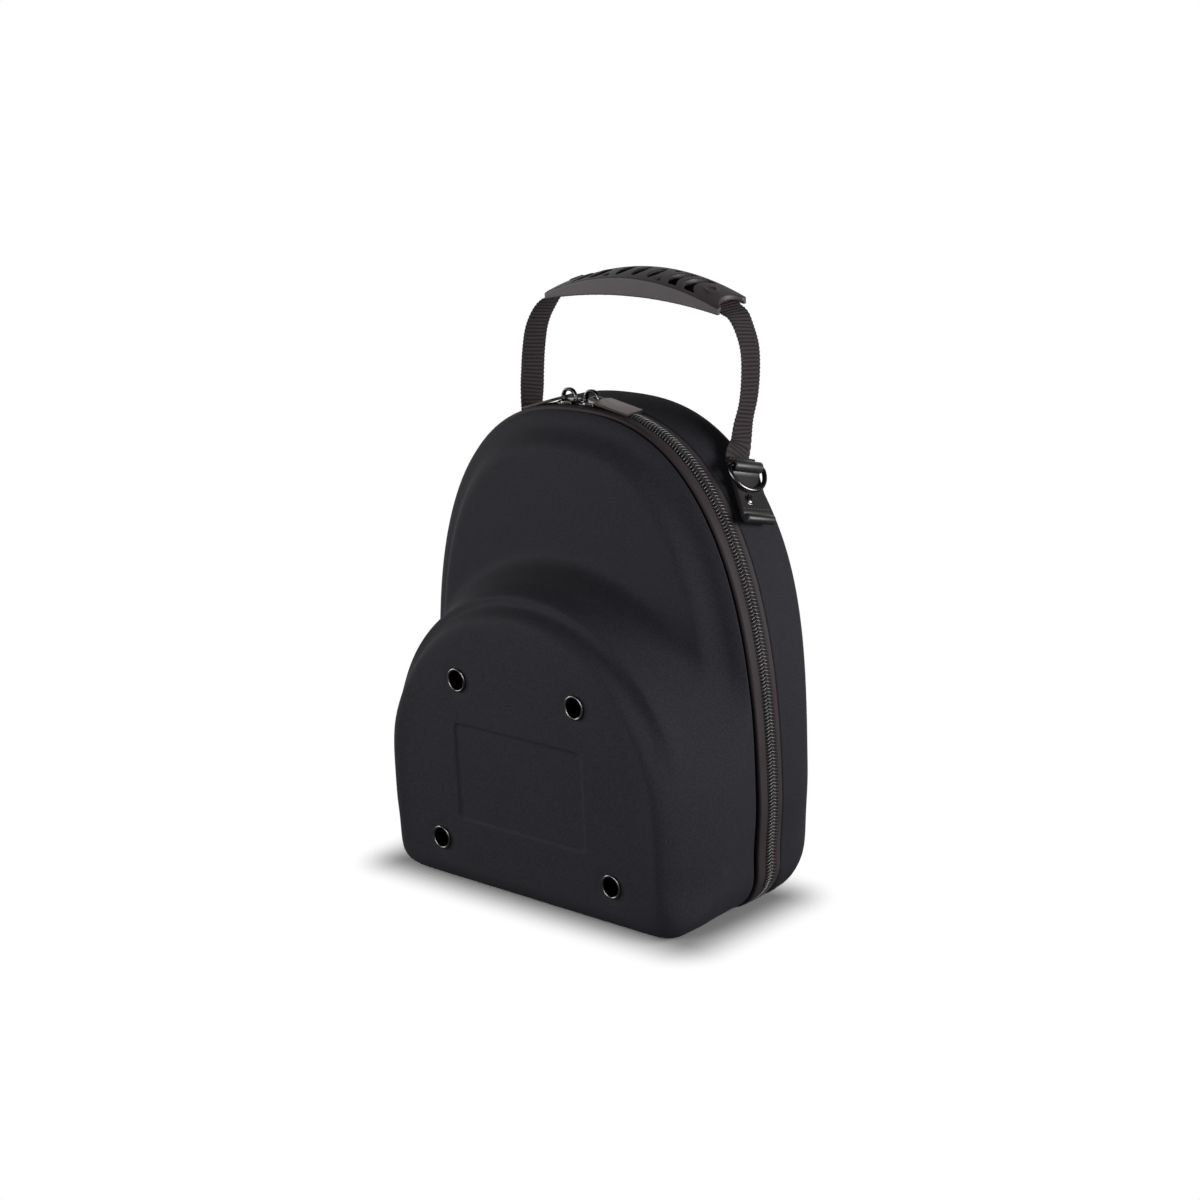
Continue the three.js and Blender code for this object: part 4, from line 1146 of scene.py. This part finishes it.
def crescent(middle, end, sign):
    v = np.linspace(-SLOT["reach"], SLOT["reach"], SLOT["crescent_steps"])
    arcs = [np.stack([sign * (x - np.sqrt(radius ** 2 - v ** 2)), v], 1) for x, radius in (middle, end)]
    return np.concatenate([arcs[0], arcs[1][::-1]])


def grip_body():
    outer = GRIP["width"] / 2
    inner = outer - GRIP["side"]
    sections = []
    for x in np.linspace(-GRIP["half"], GRIP["half"], GRIP["stations"]):
        crest = grip_crest(x)
        ceiling = crest - GRIP["plate"]
        foot = grip_foot(x)
        top = [(outer * v, crest - GRIP["crown_drop"] * v * v)
               for v in np.linspace(-1, 1, GRIP["top_points"])]
        outline = [(-inner, ceiling), (-inner, foot), (-outer, foot), *top,
                   (outer, foot), (inner, foot), (inner, ceiling)]
        sections.append([(x, GRIP["y"] + v, z + GRIP["tilt"] * v) for v, z in outline])
    return swept("grip", np.array(sections), closed=False)


def grip_cuts():
    """Outlines of the slots in the grip's top and of the notches at its ends."""
    outlines = [leaf(k * SLOT["pitch"]) for k in (-1, 0, 1)]
    for sign in SIDES.values():
        outlines += [crescent(middle, end, sign) for middle, end in CRESCENTS]
        x = sign * SLOT["sliver_x"]
        for edge in (-SLOT["reach"], SLOT["reach"]):
            tip = math.copysign(SLOT["sliver_tip"], edge)
            outlines.append(np.array([(x - SLOT["sliver_half"], edge), (x + SLOT["sliver_half"], edge),
                                      (x, tip)]))
        outlines.append(circle(sign * (GRIP["half"] + GRIP["notch_out"]), 0, GRIP["notch"],
                               GRIP["notch_sides"]))
    return outlines


def grip_boss(sign):
    """A small raised ring near an end of the grip."""
    a = np.linspace(0, 2 * math.pi, BOSS["steps"])[:-1]
    x = sign * BOSS["x"] + BOSS["radius"] * np.cos(a)
    v = BOSS["radius"] * np.sin(a)
    z = grip_crest(x) - GRIP["crown_drop"] * (2 * v / GRIP["width"]) ** 2 + GRIP["tilt"] * v
    return swept("grip_boss", tube(np.stack([x, GRIP["y"] + v, z], 1), BOSS["wire"]), closed=True)


def build_grip():
    """Moulded grip: pierced channel with rounded edges and a small boss near each end."""
    cutters = []
    for outline in grip_cuts():
        rings = [np.stack([outline[:, 0], GRIP["y"] + outline[:, 1], np.full(len(outline), z)], 1)
                 for z in (GRIP["foot"] - GRIP["cut_below"], GRIP["crest"] + GRIP["cut_above"])]
        cutters.append(swept("grip_cut", np.stack(rings), closed=False))
    channel = pierced(grip_body(), cutters, "grip_channel")
    parts = [channel, *(grip_boss(sign) for sign in SIDES.values())]
    grip = fused(parts, "grip_moulding", GRIP["voxel"] * MM, GRIP["rounds"])
    fitted(grip, GRIP_RUBBER, "handle_grip")


def tab_outline():
    """Side view of the tab: rolled end, flat stretch, loop round the ring's bar."""
    low, top, bar, bottom, lip = (TAB[k] for k in ("low", "top", "bar", "bottom", "lip"))
    upper = low + TAB["thick"]
    loop = RING["wire"] + TAB_LOOP["thick"]
    ease, rise = TAB_LOOP["ease"]
    foot, foot_rise = TAB_ROLL["foot"]
    points = [(bottom - lip, low), (bottom - TAB["nick"], low)]
    for a in np.linspace(*TAB_ROLL["turn"], TAB_ROLL["steps"]) * math.pi:
        points.append((bottom - TAB_ROLL["back"] + lip * math.cos(a), low + lip + lip * math.sin(a)))
    points += [(bottom - foot * lip, upper + foot_rise), (bottom - TAB_ROLL["end"] * lip, upper)]
    points += [(bar + loop + TAB_LOOP["below"], upper), (bar + loop + ease, upper + rise)]
    for a in np.linspace(-TAB_LOOP["turn"], math.pi + TAB_LOOP["turn"], TAB_LOOP["steps"]):
        points.append((bar + loop * math.cos(a), RING["above"] + loop * math.sin(a)))
    points += [(bar - loop - ease, upper + rise), (bar - loop - TAB_LOOP["above"], upper)]
    points += [(top + TAB["nick"], upper), (top, upper - TAB["chamfer"]), (top, low)]
    return points


def build_tabs():
    """Tabs with a rivet and three rows of stitches each."""
    upright = Matrix.Rotation(math.pi / 2, 4, "X")
    hole = circle(TAB["bar"], RING["above"], RING["wire"] + TAB_LOOP["slack"], TAB_LOOP["sides"])
    surface = TAB["low"] + TAB["thick"]
    reach = TAB["width"] / 2 - STITCH["inset"]
    stitch = wire_shape("stitch", [tube(STITCH["path"], STITCH["wire"])])
    for side, place in tab_places():
        tab = plate(f"tab_strap_{side}", [tab_outline(), hole], TAB["width"], TAB["bevel"])
        outward(seated(tab, place @ upright))
        fitted(tab, TAB_HIDE, f"tab_{side}")
        rivet = swept(f"tab_rivet_{side}", unplaced(turned(RIVET["profile"], RIVET["sides"])), closed=True)
        outward(seated(rivet, place @ Matrix.Translation((RIVET["along"], RIVET["aside"], surface))))
        fitted(rivet, DARK_NICKEL)
        out = [tuple((place.to_3x3() @ Vector((0, 0, 1))).normalized())] * STITCH["steps"]
        for k, along in enumerate(STITCH["rows"]):
            line = [tuple(place @ Vector((along, v, surface + STITCH["lift"])))
                    for v in np.linspace(-reach, reach, STITCH["steps"])]
            row = row_of(f"tab_stitch_{side}_{k}", stitch, line, out, STITCH["pitch"], STITCH_THREAD)
            fitted(row, STITCH_THREAD)
    bpy.data.objects.remove(stitch)


def ring_path():
    """Middle line of a ring: straight bar, rounded corners and bow."""
    half, corner, drop = RING["half"], RING["corner"], RING["drop"]
    a = np.linspace(0, math.pi / 2, RING["corner_steps"])
    bend = np.stack([corner * (1 - np.cos(a)), half - corner + corner * np.sin(a)], 1)
    a = np.linspace(0, math.pi / 2, RING["bow_steps"])[1:]
    bow = np.stack([corner + (drop - corner) * np.sin(a), half * np.cos(a)], 1)
    quarter = np.concatenate([bend, bow])
    straight = np.linspace(-half + corner, half - corner, RING["bar_steps"])[1:-1]
    bar = np.stack([np.zeros_like(straight), straight], 1)
    return np.concatenate([quarter, quarter[:-1][::-1] * np.array([1, -1]), bar])


def build_rings():
    path = ring_path()
    ahead = unit(np.roll(path, -1, 0) - np.roll(path, 1, 0))
    turn = full_turn(RING["sides"])
    across = RING["wire"] * np.cos(turn)
    over = np.broadcast_to(RING["wire"] * np.sin(turn), (len(path), len(turn)))
    sections = np.stack([TAB["bar"] + path[:, :1] - ahead[:, 1:] * across,
                         RING["shift"] + path[:, 1:] + ahead[:, :1] * across, RING["above"] + over], 2)
    for side, place in tab_places():
        ring = outward(seated(swept(f"ring_wire_{side}", unplaced(sections), closed=True), place))
        fitted(ring, DARK_NICKEL, f"d_ring_{side}", body=f"ring_{side}")


# Stage
def add_camera():
    a, e, k = (math.radians(CAMERA[n]) for n in ("azimuth", "elevation", "roll"))
    back = Vector((math.sin(a) * math.cos(e), -math.cos(a) * math.cos(e), math.sin(e)))
    right = Vector((math.cos(a), math.sin(a), 0))
    up = back.cross(right)
    eye = right * CAMERA["right"] + up * CAMERA["up"] + back * CAMERA["distance"]
    turned_right = right * math.cos(k) + up * math.sin(k)
    turned_up = up * math.cos(k) - right * math.sin(k)
    data = bpy.data.cameras.new("camera")
    data.sensor_width = CAMERA["sensor"]
    data.lens = CAMERA["lens"]
    data.clip_start, data.clip_end = CAMERA["clip"]
    camera = bpy.data.objects.new("camera", data)
    camera.matrix_world = (Matrix.Translation((eye + Vector((0, SHIFT_Y, 0))) * MM)
                           @ Matrix((turned_right, turned_up, back)).transposed().to_4x4())
    bpy.context.scene.collection.objects.link(camera)
    bpy.context.scene.camera = camera


def add_soft_box(name, place, size, power):
    data = bpy.data.lights.new(name, "AREA")
    data.shape = "RECTANGLE"
    data.size, data.size_y = size
    data.energy = power
    lamp = bpy.data.objects.new(name, data)
    lamp.location = place
    lamp.rotation_euler = (Vector(LIGHT_AIM) - Vector(place)).to_track_quat("-Z", "Y").to_euler()
    bpy.context.scene.collection.objects.link(lamp)


def fading_floor():
    """Grey matte floor, its tone a painted contact shadow round the base, fading to clear away from the base
    so the white surroundings show.
    """
    shadow_floor = bpy.data.materials.new("pale_floor")
    shadow_floor.use_nodes = True
    tree = shadow_floor.node_tree
    shader = tree.nodes["Principled BSDF"].inputs
    # Grey tone: painted contact shadow round the base
    shader["Base Color"].default_value = (FLOOR["tone"], FLOOR["tone"], FLOOR["tone"], 1)
    shader["Roughness"].default_value = FLOOR["roughness"]
    shader["Specular IOR Level"].default_value = FLOOR["gloss"]
    where = put(tree, "ShaderNodeTexCoord").outputs["Object"]
    for operation, other in (("SUBTRACT", FLOOR["middle"]), ("ABSOLUTE", (0, 0, 0)),
                             ("SUBTRACT", FLOOR["half"]), ("MAXIMUM", (0, 0, 0))):
        where = put(tree, "ShaderNodeVectorMath", {0: where, 1: other}, operation=operation).outputs["Vector"]
    far = put(tree, "ShaderNodeVectorMath", {0: where}, operation="LENGTH")
    fade = put(tree, "ShaderNodeMapRange",
               {"Value": far.outputs["Value"], "From Min": FLOOR["fade"][0], "From Max": FLOOR["fade"][1],
                "To Min": 1, "To Max": 0}, interpolation_type="SMOOTHSTEP")
    tree.links.new(fade.outputs["Result"], shader["Alpha"])
    return shadow_floor


def studio_world():
    """White surroundings. As light they are bright low down and behind, and dim overhead."""
    world = bpy.data.worlds.new("studio")
    world.use_nodes = True
    tree = world.node_tree
    where = put(tree, "ShaderNodeTexCoord").outputs["Generated"]
    height = put(tree, "ShaderNodeSeparateXYZ", {0: where}).outputs["Z"]
    dim = put(tree, "ShaderNodeValToRGB", {"Fac": math_node(tree, "MULTIPLY_ADD", height, 0.5, 0.5)})
    stops = dim.color_ramp.elements
    while len(stops) < len(DAYLIGHT):
        stops.new(0.5)
    for stop, (place, level) in zip(stops, DAYLIGHT):
        stop.position = place
        stop.color = (level, level, level, 1)
    facing = put(tree, "ShaderNodeVectorMath", {0: where, 1: BACKDROP["towards"]}, operation="DOT_PRODUCT")
    behind = put(tree, "ShaderNodeMapRange",
                 {"Value": facing.outputs["Value"], "From Min": BACKDROP["start"],
                  "From Max": BACKDROP["full"], "To Max": BACKDROP["strength"]},
                 interpolation_type="SMOOTHSTEP")
    lit = math_node(tree, "MAXIMUM", dim.outputs["Color"], behind.outputs["Result"])
    seen = put(tree, "ShaderNodeLightPath").outputs["Is Camera Ray"]
    either = put(tree, "ShaderNodeMix", {"Factor": seen, "A": lit, "B": 1.0})
    background = tree.nodes["Background"].inputs
    background["Color"].default_value = (1, 1, 1, 1)
    tree.links.new(either.outputs["Result"], background["Strength"])
    return world


def add_stage():
    reach = FLOOR["reach"]
    mesh = bpy.data.meshes.new("floor")
    mesh.from_pydata([(-reach, -reach, 0), (reach, -reach, 0), (reach, reach, 0), (-reach, reach, 0)], [],
                     [(0, 1, 2, 3)])
    mesh.materials.append(fading_floor())
    floor = bpy.data.objects.new("floor", mesh)
    bpy.context.scene.collection.objects.link(floor)
    bpy.context.scene.world = studio_world()
    bpy.context.scene.view_settings.view_transform = "Standard"
    for name, box in SOFT_BOXES.items():
        add_soft_box(name, *box)


add_camera()
add_stage()
build_shells()
build_bands()
build_coil()
build_hinge()
build_eyelets()
build_sliders()
build_webbing()
build_grip()
build_tabs()
build_rings()
